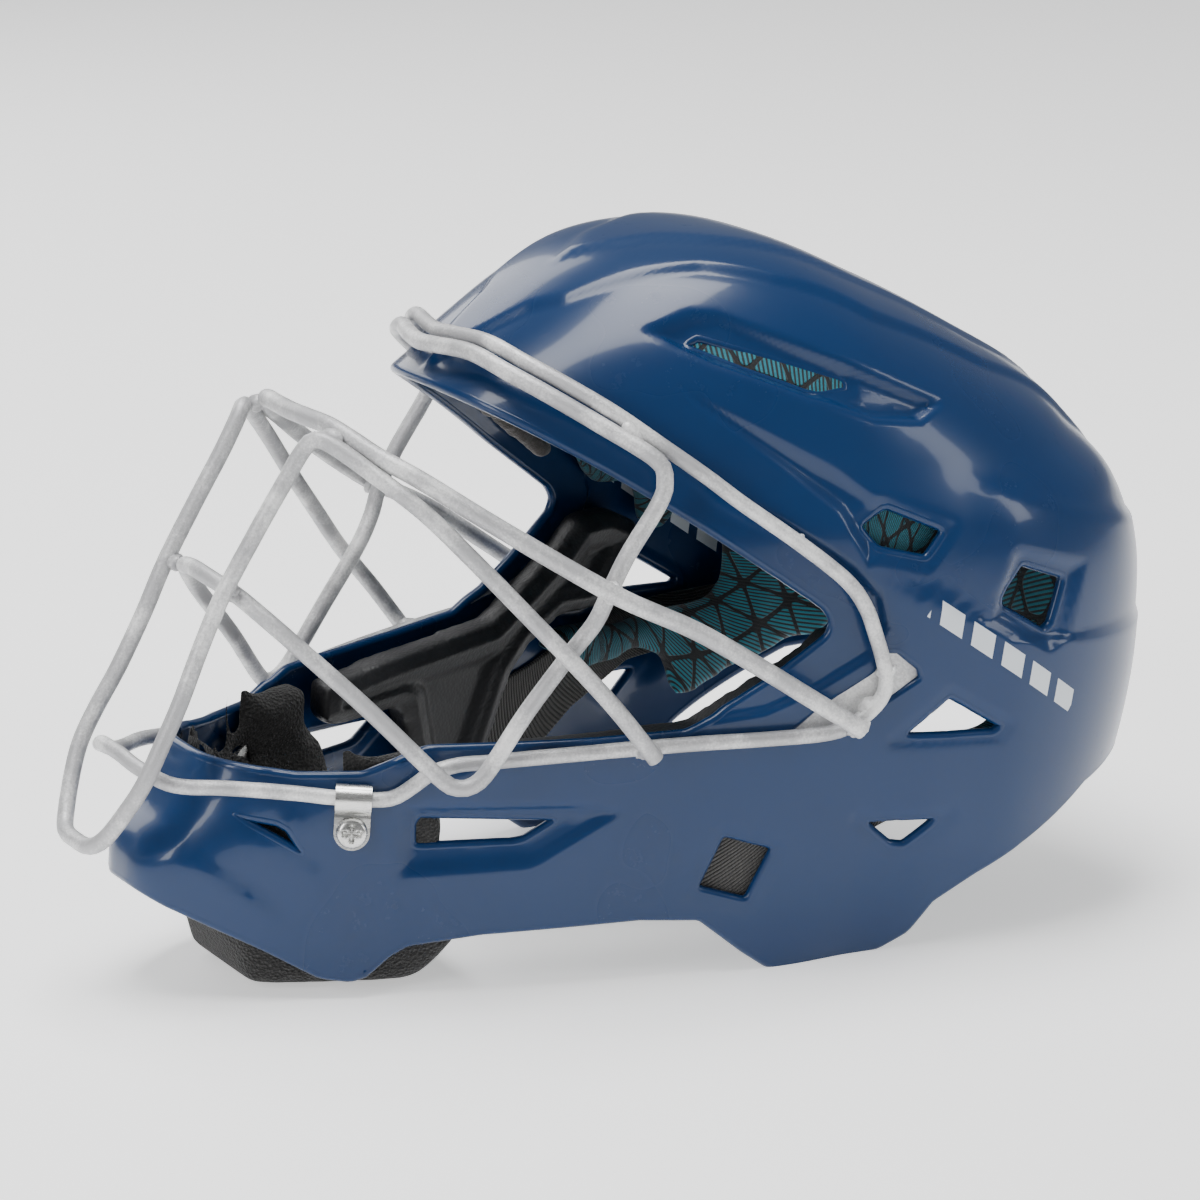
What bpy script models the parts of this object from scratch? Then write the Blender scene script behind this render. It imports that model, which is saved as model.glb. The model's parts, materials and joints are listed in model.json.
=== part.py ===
"""Catcher's mask: a hockey-style helmet with a welded wire face cage.

Metres, +Z up.  The mask faces -X and rests on its chin pad and on the flat feet of its ear
flanges at z = 0, leaning back as it lies on a table.  The wearer's left side is at -Y.

The shell's skin is one rounded form about a hub: seen from the side it is an outline of
radii around the hub, and its half width swells from the chin to the ears.  Every liner,
plate, strap and wire that follows the skin is made from that same form at its own depth.
"""
import math

import bmesh
import bpy
from mathutils import Matrix, Vector

# ---- driving dimensions ----------------------------------------------------------------
SHELL_LENGTH = 0.320          # chin tip to nape
SHELL_HEIGHT = 0.208          # feet to crown
SHELL_WIDTH = 0.208           # over the ears
SHELL_WALL = 0.0035
FIT_GAP = 0.0003              # between pieces that touch
PLATE_GAP = 0.0015            # around the moving back plate

OUTER_WIRE = 0.0045           # wire diameters
LOOP_WIRE = 0.0050
NOSE_WIRE = 0.0050
EYE_BAR_WIRE = 0.0054
WIRE_STAND_OFF = 0.0005       # wire surface to skin
BROW_RADIUS = 0.100           # sets how far apart the two brow wires run

SIDE_PLATE_THICKNESS = 0.0022
BOSS_RADIUS = 0.0042
BOSS_PROUD = 0.0014           # boss end past the shell's inner face
PLATE_SCREW_RADIUS = 0.0020
PLATE_SCREW_HEAD = 0.0052
SCREW_HEAD_THICKNESS = 0.0024

CLIP_THICKNESS = 0.0012
CLIP_SLACK = 0.0005           # the wire bends a little inside its clip
CLIP_WIDTH = 0.0104
CLIP_SCREW_DROP = 0.0100      # wire centre to screw centre
CLIP_SCREW_RADIUS = 0.0020
CLIP_SCREW_HEAD = 0.0046
TEE_NUT_BARREL = 0.0031
TEE_NUT_FLANGE = 0.0070
TEE_NUT_THICKNESS = 0.0010
TEE_NUT_SEAT = 0.0026         # the flat flange bridges the curve of the shell by this much

CROWN_PAD_THICKNESS = 0.011
BROW_PAD_THICKNESS = 0.009
EAR_PAD_THICKNESS = 0.014
JAW_PAD_THICKNESS = 0.012
CHIN_PAD_THICKNESS = 0.015
BACK_PAD_THICKNESS = 0.012

STRAP_THICKNESS = 0.0016
TOP_STRAP_WIDTH = 0.022
CHANNEL_WIDTH = 0.030         # strap channel down the back of the crown
CHANNEL_DEPTH = 0.0030
BACK_PLATE_WIDTH = 0.080
WIRE_SPACING = 0.009          # between points along a wire

# ---- the form of the skin ---------------------------------------------------------------
# The side view is drawn in millimetres for the nominal sizes and scaled to the driving ones.
DRAWN_LENGTH, DRAWN_HEIGHT = 320.0, 208.0
HUB = (40.0, 99.0)
# radius of the mid-plane outline at each direction, in degrees from the nape upwards
OUTLINE = {-90: 150, -60: 150, -30: 132, -10: 126, 10: 124, 30: 113, 50: 102, 70: 101, 90: 109,
           110: 116, 130: 121, 140: 127, 150: 138, 170: 178, 184: 177, 189: 180, 193: 190,
           196.5: 205, 200: 208, 210: 215, 225: 225, 250: 200}
ROUNDNESS = 2.7               # superellipse power of the skin, higher at the chin
CHIN_ROUNDNESS = 0.8
TAPER_START = 75.0            # the skin narrows towards the chin from here
TAPER_RATE = 0.0031
TAPER_SOFTNESS = 30.0
SEGMENTS = 60
RING_FRACTIONS = (0.0, 0.12, 0.165, 0.26, 0.37, 0.48, 0.59, 0.70, 0.80, 0.88, 0.94, 0.98, 1.0)


def metres(x, z):
    """A drawn side-view point in metres."""
    return x * SHELL_LENGTH / DRAWN_LENGTH, z * SHELL_HEIGHT / DRAWN_HEIGHT


def smooth_step(value):
    value = min(max(value, 0.0), 1.0)
    return value * value * (3.0 - 2.0 * value)


def outline_radius(angle):
    """The outline's radius at an angle, by a Catmull-Rom curve through OUTLINE."""
    angles = list(OUTLINE)
    angle = (angle - angles[0]) % 360.0 + angles[0]
    count = len(angles)
    index = max(i for i in range(count) if angles[i] <= angle)

    def knot(i):
        return angles[i % count] + 360.0 * (i // count), OUTLINE[angles[i % count]]

    (a0, r0), (a1, r1), (a2, r2), (a3, r3) = [knot(index + k) for k in (-1, 0, 1, 2)]
    slope1 = (r2 - r0) / (a2 - a0)
    slope2 = (r3 - r1) / (a3 - a1)
    span = a2 - a1
    u = (angle - a1) / span
    return ((2 * u ** 3 - 3 * u ** 2 + 1) * r1 + (u ** 3 - 2 * u ** 2 + u) * span * slope1
            + (3 * u ** 2 - 2 * u ** 3) * r2 + (u ** 3 - u ** 2) * span * slope2)


def power(angle):
    """Superellipse power: rounder at the crown, blunter at the chin."""
    chin = smooth_step((math.cos(math.radians(angle - 200.0)) - 0.6) / 0.4)
    return ROUNDNESS + CHIN_ROUNDNESS * chin


def taper(x):
    """Share of the full width at a drawn x."""
    swell = TAPER_SOFTNESS * math.log1p(math.exp(min((TAPER_START - x) / TAPER_SOFTNESS, 30.0)))
    return 1.0 - TAPER_RATE * swell


def skin(angle, fraction):
    """Skin point at a direction and a signed share of the local half width (- is left)."""
    shape = power(angle)
    reach = (1.0 - abs(fraction) ** shape) ** (1.0 / shape) * outline_radius(angle)
    x = HUB[0] + reach * math.cos(math.radians(angle))
    z = HUB[1] + reach * math.sin(math.radians(angle))
    y = fraction * SHELL_WIDTH / 2 * taper(x)
    mx, mz = metres(x, z)
    return Vector((mx, y, mz))


def polar(x, z, side=-1):
    """Direction and fraction of the skin point at a drawn side-view point."""
    angle = math.degrees(math.atan2(z - HUB[1], x - HUB[0]))
    reach = math.hypot(x - HUB[0], z - HUB[1]) / outline_radius(angle)
    shape = power(angle)
    return angle, side * max(1.0 - reach ** shape, 0.0) ** (1.0 / shape)


def side_skin(x, z, side=-1):
    return skin(*polar(x, z, side))


def side_normal(x, z, side=-1):
    """Outward normal of the skin at a drawn side-view point."""
    step = 2.0
    along_x = side_skin(x + step, z, side) - side_skin(x - step, z, side)
    along_z = side_skin(x, z + step, side) - side_skin(x, z - step, side)
    normal = along_x.cross(along_z).normalized()
    return normal if normal.y * side > 0 else -normal


def polar_lifted(angle, fraction, lift):
    """A point lifted off the skin near the mid-plane, where the side view is edge-on."""
    step_a, step_f = 1.0, 0.02
    across = skin(angle, fraction + step_f) - skin(angle, fraction - step_f)
    around = skin(angle + step_a, fraction) - skin(angle - step_a, fraction)
    normal = around.cross(across).normalized()
    centre = Vector((*metres(*HUB), 0.0)).xzy
    point = skin(angle, fraction)
    if normal.dot(point - centre) < 0:
        normal = -normal
    return point + normal * lift


# ---- modelling helpers --------------------------------------------------------------------
def clear_scene():
    for thing in list(bpy.data.objects):
        bpy.data.objects.remove(thing, do_unlink=True)


def material(name, colour, roughness, metallic=0.0):
    mat = bpy.data.materials.new(name)
    mat.use_nodes = True
    shader = mat.node_tree.nodes["Principled BSDF"]
    shader.inputs["Base Color"].default_value = (*colour, 1.0)
    shader.inputs["Roughness"].default_value = roughness
    shader.inputs["Metallic"].default_value = metallic
    return mat


def add_object(name, bm, mat=None):
    mesh = bpy.data.meshes.new(name)
    bm.to_mesh(mesh)
    bm.free()
    thing = bpy.data.objects.new(name, mesh)
    bpy.context.collection.objects.link(thing)
    if mat:
        mesh.materials.append(mat)
    return thing


def form(name, depth, channel=True):
    """The closed skin form, set in by a depth (out when negative)."""
    bm = bmesh.new()
    rings = len(RING_FRACTIONS) - 1
    angles = {}
    bmesh.ops.create_uvsphere(bm, u_segments=SEGMENTS, v_segments=2 * rings, radius=1.0)
    for vert in bm.verts:
        ring = math.asin(max(-1.0, min(1.0, vert.co.z))) / (math.pi / 2) * rings
        fraction = math.copysign(RING_FRACTIONS[round(abs(ring))], ring)
        angle = math.degrees(math.atan2(vert.co.y, vert.co.x))
        vert.co = skin(angle, fraction)
        angles[vert] = angle
    if bm.calc_volume(signed=True) < 0:
        bmesh.ops.reverse_faces(bm, faces=bm.faces[:])
    bm.normal_update()
    moves = []
    for vert in bm.verts:
        drop = channel_drop(vert.co, angles[vert]) if channel else 0.0
        moves.append((vert, vert.normal * (depth + drop)))
    for vert, move in moves:
        vert.co -= move
    return add_object(name, bm)


def channel_drop(point, angle):
    """How far the strap channel sinks the skin here."""
    angle = (angle + 180.0) % 360.0 - 180.0
    along = smooth_step((46.0 - angle) / 6.0) * smooth_step((angle + 60.0) / 6.0)
    across = 1.0 if abs(point.y) < CHANNEL_WIDTH / 2 else 0.0
    return CHANNEL_DEPTH * along * across


def prism(name, outline, y_low, y_high, grow=0.0):
    """A drawn side-view outline as a prism across the mask."""
    points = [Vector(metres(*point)) for point in outline]
    area = sum(a.x * b.y - b.x * a.y for a, b in zip(points, points[1:] + points[:1]))
    if area < 0:
        points.reverse()
    if grow:
        points = offset_outline(points, grow)
    bm = bmesh.new()
    face = bm.faces.new([bm.verts.new((p.x, y_low, p.y)) for p in points])
    grown = bmesh.ops.extrude_face_region(bm, geom=[face])
    moved = [item for item in grown["geom"] if isinstance(item, bmesh.types.BMVert)]
    bmesh.ops.translate(bm, verts=moved, vec=(0.0, y_high - y_low, 0.0))
    bmesh.ops.recalc_face_normals(bm, faces=bm.faces[:])
    return add_object(name, bm)


def offset_outline(points, distance):
    """A counter-clockwise outline pushed outwards by a distance."""
    result = []
    count = len(points)
    for i, point in enumerate(points):
        before = (point - points[i - 1]).normalized()
        after = (points[(i + 1) % count] - point).normalized()
        normal_a = Vector((before.y, -before.x))
        normal_b = Vector((after.y, -after.x))
        middle = (normal_a + normal_b).normalized()
        result.append(point + middle * distance / max(middle.dot(normal_a), 0.5))
    return result


def carve(thing, tools, operation="DIFFERENCE"):
    """Boolean each tool into the thing, then drop the tools."""
    for tool in tools:
        tool.hide_render = True
        tool.display_type = "WIRE"
        modifier = thing.modifiers.new(operation.title(), "BOOLEAN")
        modifier.operation = operation
        modifier.solver = "EXACT"
        modifier.object = tool
        bpy.context.view_layer.update()
        evaluated = thing.evaluated_get(bpy.context.evaluated_depsgraph_get())
        mesh = bpy.data.meshes.new_from_object(evaluated)
        thing.modifiers.clear()
        old = thing.data
        thing.data = mesh
        bpy.data.meshes.remove(old)
        bpy.data.objects.remove(tool, do_unlink=True)


def tidy_mesh(thing, merge=0.00002):
    bm = bmesh.new()
    bm.from_mesh(thing.data)
    bmesh.ops.remove_doubles(bm, verts=bm.verts[:], dist=merge)
    bmesh.ops.dissolve_degenerate(bm, dist=merge, edges=bm.edges[:])
    bm.to_mesh(thing.data)
    bm.free()


def finish(thing, name, mat, smooth=True):
    thing.name = name
    thing.data.name = name
    thing.data.materials.clear()
    thing.data.materials.append(mat)
    if smooth:
        thing.data.shade_smooth()
        thing.data.set_sharp_from_angle(angle=math.radians(35.0))
    return thing


def lining(name, outline, y_low, y_high, outer_depth, thickness, mat, cuts=(), channel=True, grow=0.0):
    """A slab that follows the skin between two depths, within a side-view outline."""
    piece = form(name, outer_depth, channel)
    inner = form(name + "_inner", outer_depth + thickness, channel)
    carve(piece, [prism(name + "_outline", outline, y_low, y_high, grow)], "INTERSECT")
    carve(piece, [inner, *cuts])
    tidy_mesh(piece)
    return finish(piece, name, mat)


def cylinder_between(name, start, end, radius, sides=20, end_radius=None):
    """A round bar from one point to another."""
    axis = end - start
    bm = bmesh.new()
    bmesh.ops.create_cone(bm, cap_ends=True, segments=sides, radius1=radius,
                          radius2=radius if end_radius is None else end_radius,
                          depth=axis.length)
    turn = axis.to_track_quat("Z", "Y").to_matrix().to_4x4()
    place = Matrix.Translation((start + end) / 2) @ turn
    bmesh.ops.transform(bm, matrix=place, verts=bm.verts[:])
    return add_object(name, bm)


def spline(points, spacing, closed):
    """Points at an even spacing on a Catmull-Rom curve through the given points."""
    count = len(points)
    dense = []
    for i in range(count if closed else count - 1):
        if closed:
            quad = [points[(i + k) % count] for k in (-1, 0, 1, 2)]
        else:
            quad = [points[min(max(i + k, 0), count - 1)] for k in (-1, 0, 1, 2)]
        p0, p1, p2, p3 = quad
        for step in range(12):
            u = step / 12
            dense.append(0.5 * ((2 * p1) + (p2 - p0) * u + (2 * p0 - 5 * p1 + 4 * p2 - p3) * u * u
                                + (3 * p1 - p0 - 3 * p2 + p3) * u ** 3))
    if not closed:
        dense.append(points[-1].copy())
    ring = dense + ([dense[0]] if closed else [])
    lengths = [0.0]
    for a, b in zip(ring, ring[1:]):
        lengths.append(lengths[-1] + (b - a).length)
    steps = max(4, round(lengths[-1] / spacing))
    result = []
    position = 0
    for k in range(steps if closed else steps + 1):
        target = lengths[-1] * k / steps
        while position < len(lengths) - 2 and lengths[position + 1] < target:
            position += 1
        share = (target - lengths[position]) / (lengths[position + 1] - lengths[position])
        result.append(ring[position].lerp(ring[position + 1], share))
    return result


def wire(name, points, diameter, mat, closed):
    """A bent round wire."""
    curve = bpy.data.curves.new(name, "CURVE")
    curve.dimensions = "3D"
    curve.bevel_depth = diameter / 2
    curve.bevel_resolution = 2
    curve.use_fill_caps = not closed
    curve.resolution_u = 1
    route = spline(points, WIRE_SPACING, closed)
    line = curve.splines.new("POLY")
    line.points.add(len(route) - 1)
    for vertex, point in zip(line.points, route):
        vertex.co = (*point, 1.0)
    line.use_cyclic_u = closed
    guide = bpy.data.objects.new(name + "_route", curve)
    bpy.context.collection.objects.link(guide)
    bpy.context.view_layer.update()
    evaluated = guide.evaluated_get(bpy.context.evaluated_depsgraph_get())
    mesh = bpy.data.meshes.new_from_object(evaluated)
    thing = bpy.data.objects.new(name, mesh)
    bpy.context.collection.objects.link(thing)
    bpy.data.objects.remove(guide, do_unlink=True)
    return finish(thing, name, mat)


def mirrored(points):
    """A left-half route that starts and ends on the mid-plane, closed over both sides."""
    right = [Vector((p.x, -p.y, p.z)) for p in points[1:-1]]
    return points + right[::-1]


def drawn(x, y, z):
    """A free point of the cage, drawn in millimetres at the nominal sizes."""
    mx, mz = metres(x, z)
    return Vector((mx, y / 104.0 * SHELL_WIDTH / 2, mz))


# ---- side-view outlines, in drawn millimetres ---------------------------------------------
FACE_OPENING = ((-110, 209), (-62, 176), (-30, 154), (-7, 137), (18, 118), (27, 111), (30, 106),
                (28, 101), (20, 95), (10, 88), (-6, 78.5), (-13, 75), (-38, 74), (-72, 74),
                (-84, 74), (-101, 67), (-118, 67), (-138, 70), (-152, 70), (-200, 72),
                (-260, 150), (-200, 260))
LOWER_EDGE = ((-190, 60), (-165, 41), (-151, 31), (-144, 27), (-128, 18), (-113, 8), (-105, 6.5),
              (-101, 8), (-95, 14), (-90, 16.5), (-70, 19), (-26, 20.5), (-8, 19), (6, 7),
              (14, 1), (17, 0), (40, 0), (50, 1), (58, 6), (64, 16), (77, 24), (105, 38),
              (118, 45), (134, 48), (200, 50), (230, -80), (-190, -130))
CROWN_SLOT = ((-4, 188), (2, 191), (42, 177), (42, 174), (33, 173), (28, 173))
VENT = ((36, 134), (46, 140), (65, 131), (57, 122), (42, 126))
REAR_VENT = ((89, 119), (107, 112), (101, 97), (97, 95), (81, 105), (80, 109))
EAR_WINDOW = ((47, 69), (64, 82), (83, 70), (80, 67))
LOW_WINDOW = ((37, 45), (66, 44), (53, 34), (48, 35))
STRAP_WINDOW = ((-3, 45), (14, 39), (6, 21), (-11, 27))
JAW_WINDOW = ((-89, 52), (-87, 55), (-46, 52), (-58, 44.5), (-61, 44), (-89, 44))
CHIN_VENT = ((-135, 57), (-124, 55), (-121, 53), (-116, 43), (-132, 54))
WINDOWS = (CROWN_SLOT, VENT, REAR_VENT, EAR_WINDOW, LOW_WINDOW, STRAP_WINDOW, JAW_WINDOW,
           CHIN_VENT)
SIDE_PLATE = ((40, 91), (43, 97), (48, 97), (55, 91), (56, 87), (37, 75.5), (31, 71), (27, 70),
              (12, 70.5), (12, 72), (24, 82))
PLATE_BOSS = (46, 90)
CROWN_PAD = ((-28, 170), (30, 124), (34, 113), (41, 105), (58, 103), (60, 88), (74, 86), (77, 92),
             (77, 106), (79, 122), (112, 116), (160, 132), (170, 210), (40, 240), (-30, 215))
BROW_PAD = ((-70, 185), (-55, 174), (-25, 153), (-2, 137), (22, 119), (29, 124), (2, 145),
            (-32, 170), (-45, 200), (-80, 215))
EAR_PAD = ((14, 62), (34, 50), (60, 52), (70, 46), (70, 31), (104, 45), (124, 53), (129, 70),
           (118, 92), (104, 92), (92, 84), (90, 66), (44, 64), (40, 66), (26, 68))
JAW_PAD = ((-76, 71), (-77, 59), (-70, 56.5), (-44, 56), (-38, 24), (-14, 23), (2, 56), (10, 64),
           (24, 71), (38, 70), (43, 71.5), (50, 79.5), (57, 88), (57, 96), (46, 101.5),
           (33, 101.5), (25, 94), (9, 84), (-6, 75))
CHIN_PAD = ((-150, 72), (-129, 0), (-66, 0), (-66, 22), (-74, 40), (-75, 54), (-80, 58), (-80, 70),
            (-100, 73), (-125, 73))
SIDE_STRAP = ((-9, 24), (-3, 47), (18, 52), (50, 64), (100, 66), (136, 70), (138, 54), (102, 50),
              (58, 47), (34, 36), (8, 18))
CLIP_PLACE = (-104.0, 61.3)
CHIN_CUP_CENTRE = (-88.0, 0.0, 64.0)
CHIN_CUP_FLOOR = 0.013
CHIN_KEEL_CENTRE = (-100.0, 0.0, 52.0)
CHIN_KEEL_FRONT = (-153.0, 0.0, 52.0)
CHIN_KEEL_SINK = 0.0120       # the keel reaches this far below the floor, so the rest is flat
CHIN_KEEL_HALF_SHARE = 0.36   # of the shell's width
NAPE_TOP, NAPE_BOTTOM = 119.0, 44.0
NAPE_CUT = ((100, NAPE_BOTTOM - 40), (100, NAPE_TOP), (230, NAPE_TOP), (230, NAPE_BOTTOM - 40))
HINGE = (160.0, 120.0)        # axis of the back plate, in its top strap


def build_shell(mats):
    """Outer shell: hollow form, opened at the face, the neck, the windows and the nape."""
    shell = form("outer_shell", 0.0)
    carve(shell, [form("cavity", SHELL_WALL)])
    carve(shell, [prism("face", FACE_OPENING, -0.2, 0.2), prism("neck", LOWER_EDGE, -0.2, 0.2)])
    for outline in WINDOWS:
        for side in (-1, 1):
            near, far = (-0.2, -0.01) if side < 0 else (0.01, 0.2)
            carve(shell, [prism("window", outline, near, far)])
    half = BACK_PLATE_WIDTH / 2 + PLATE_GAP
    carve(shell, [prism("nape", NAPE_CUT, -half, half)])
    for side in (-1, 1):
        near, far = sorted((side * 0.02, side * 0.2))
        recess = form("recess", -0.004)
        carve(recess, [form("floor", SIDE_PLATE_THICKNESS + FIT_GAP)])
        carve(recess, [prism("edge", SIDE_PLATE, near, far, FIT_GAP)], "INTERSECT")
        carve(shell, [recess, boss_bar(side, BOSS_RADIUS + FIT_GAP, -0.002, 0.012, "boss_hole")])
        carve(shell, [clip_bar(side, CLIP_SCREW_RADIUS + FIT_GAP, -0.004, 0.010, "screw_hole"),
                      clip_bar(side, TEE_NUT_BARREL + FIT_GAP, 0.0012, 0.010, "barrel_hole")])
    tidy_mesh(shell)
    return finish(shell, "outer_shell", mats["shell"])


def boss_bar(side, radius, start, end, name):
    """A bar along the inward normal at the side plate's boss, from one depth to another."""
    point = side_skin(*PLATE_BOSS, side)
    inward = -side_normal(*PLATE_BOSS, side)
    return cylinder_between(name, point + inward * start, point + inward * end, radius)


def clip_frame(side):
    """Skin point under the wire at the clip, with its normal, wire and up directions."""
    point = side_skin(*CLIP_PLACE, side)
    normal = side_normal(*CLIP_PLACE, side)
    ahead = side_skin(CLIP_PLACE[0] - 4, CLIP_PLACE[1] + 0.3, side)
    along = (ahead - side_skin(CLIP_PLACE[0] + 4, CLIP_PLACE[1] - 0.3, side)).normalized()
    along = (along - normal * along.dot(normal)).normalized()
    up = normal.cross(along)
    if up.z < 0:
        up = -up
    return point, normal, along, up


def clip_bar(side, radius, start, end, name, sides=20, end_radius=None):
    """A bar along the clip screw's axis, from one depth under the skin to another."""
    point, normal, _, up = clip_frame(side)
    foot = point - up * CLIP_SCREW_DROP
    return cylinder_between(name, foot - normal * start, foot - normal * end, radius, sides,
                            end_radius)


def build_side_plate(side, label, mats):
    near, far = sorted((side * 0.02, side * 0.2))
    plate = lining("side_plate_" + label, SIDE_PLATE, near, far, 0.0, SIDE_PLATE_THICKNESS,
                   mats["cage"])
    boss = boss_bar(side, BOSS_RADIUS, SIDE_PLATE_THICKNESS / 2, SHELL_WALL + BOSS_PROUD, "boss")
    carve(plate, [boss], "UNION")
    carve(plate, [boss_bar(side, PLATE_SCREW_RADIUS + FIT_GAP, SIDE_PLATE_THICKNESS * 0.7, 0.012,
                           "boss_bore")])
    tidy_mesh(plate)
    finish(plate, "side_plate_" + label, mats["cage"])
    head_start = SHELL_WALL + BOSS_PROUD + FIT_GAP
    screw = boss_bar(side, PLATE_SCREW_HEAD, head_start, head_start + SCREW_HEAD_THICKNESS,
                     "head")
    shank = boss_bar(side, PLATE_SCREW_RADIUS, SIDE_PLATE_THICKNESS * 0.7 + FIT_GAP,
                     head_start + SCREW_HEAD_THICKNESS / 2, "shank")
    carve(screw, [shank], "UNION")
    finish(screw, "plate_screw_" + label, mats["steel"])


def build_clip(side, label, mats):
    """P-clip: a steel strip hooked over the outer wire and screwed to the shell."""
    point, normal, along, up = clip_frame(side)
    radius = OUTER_WIRE / 2 + FIT_GAP + CLIP_SLACK
    centre = OUTER_WIRE / 2 + WIRE_STAND_OFF
    middle = radius + CLIP_THICKNESS / 2
    lift = WIRE_STAND_OFF + CLIP_THICKNESS / 2
    path = [(lift, -CLIP_SCREW_DROP - CLIP_WIDTH / 2), (lift, -middle - 0.0012)]
    for step in range(9):
        turn = math.radians(-80 + 190 * step / 8)
        path.append((centre + middle * math.cos(turn), middle * math.sin(turn)))
    bm = bmesh.new()
    rails = [[], []]
    for i, (u, v) in enumerate(path):
        before = path[max(i - 1, 0)]
        after = path[min(i + 1, len(path) - 1)]
        run = Vector((after[0] - before[0], after[1] - before[1])).normalized()
        for rail, sign in zip(rails, (1, -1)):
            rail.append((u + run.y * sign * CLIP_THICKNESS / 2,
                         v - run.x * sign * CLIP_THICKNESS / 2))
    loop = rails[0] + rails[1][::-1]
    face = bm.faces.new([bm.verts.new(point + normal * u + up * v - along * CLIP_WIDTH / 2)
                         for u, v in loop])
    grown = bmesh.ops.extrude_face_region(bm, geom=[face])
    moved = [item for item in grown["geom"] if isinstance(item, bmesh.types.BMVert)]
    bmesh.ops.translate(bm, verts=moved, vec=along * CLIP_WIDTH)
    bmesh.ops.recalc_face_normals(bm, faces=bm.faces[:])
    clip = add_object("wire_clip_" + label, bm)
    carve(clip, [clip_bar(side, CLIP_SCREW_RADIUS + FIT_GAP, -0.004, 0.001, "clip_hole")])
    finish(clip, "wire_clip_" + label, mats["steel"])
    seat = WIRE_STAND_OFF + CLIP_THICKNESS + FIT_GAP
    screw = clip_bar(side, CLIP_SCREW_HEAD * 0.7, -seat - SCREW_HEAD_THICKNESS, -seat, "head", 20,
                     CLIP_SCREW_HEAD)
    shank = clip_bar(side, CLIP_SCREW_RADIUS, -seat - SCREW_HEAD_THICKNESS / 2,
                     SHELL_WALL + TEE_NUT_SEAT, "shank")
    carve(screw, [shank], "UNION")
    finish(screw, "clip_screw_" + label, mats["steel"])
    under = SHELL_WALL + FIT_GAP + TEE_NUT_SEAT
    nut = clip_bar(side, TEE_NUT_FLANGE, under, under + TEE_NUT_THICKNESS, "flange")
    barrel = clip_bar(side, TEE_NUT_BARREL, 0.0015, under + TEE_NUT_THICKNESS / 2, "barrel")
    carve(nut, [barrel], "UNION")
    carve(nut, [clip_bar(side, CLIP_SCREW_RADIUS + FIT_GAP, -0.002, 0.010, "nut_bore")])
    finish(nut, "clip_tee_nut_" + label, mats["steel"])


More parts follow.
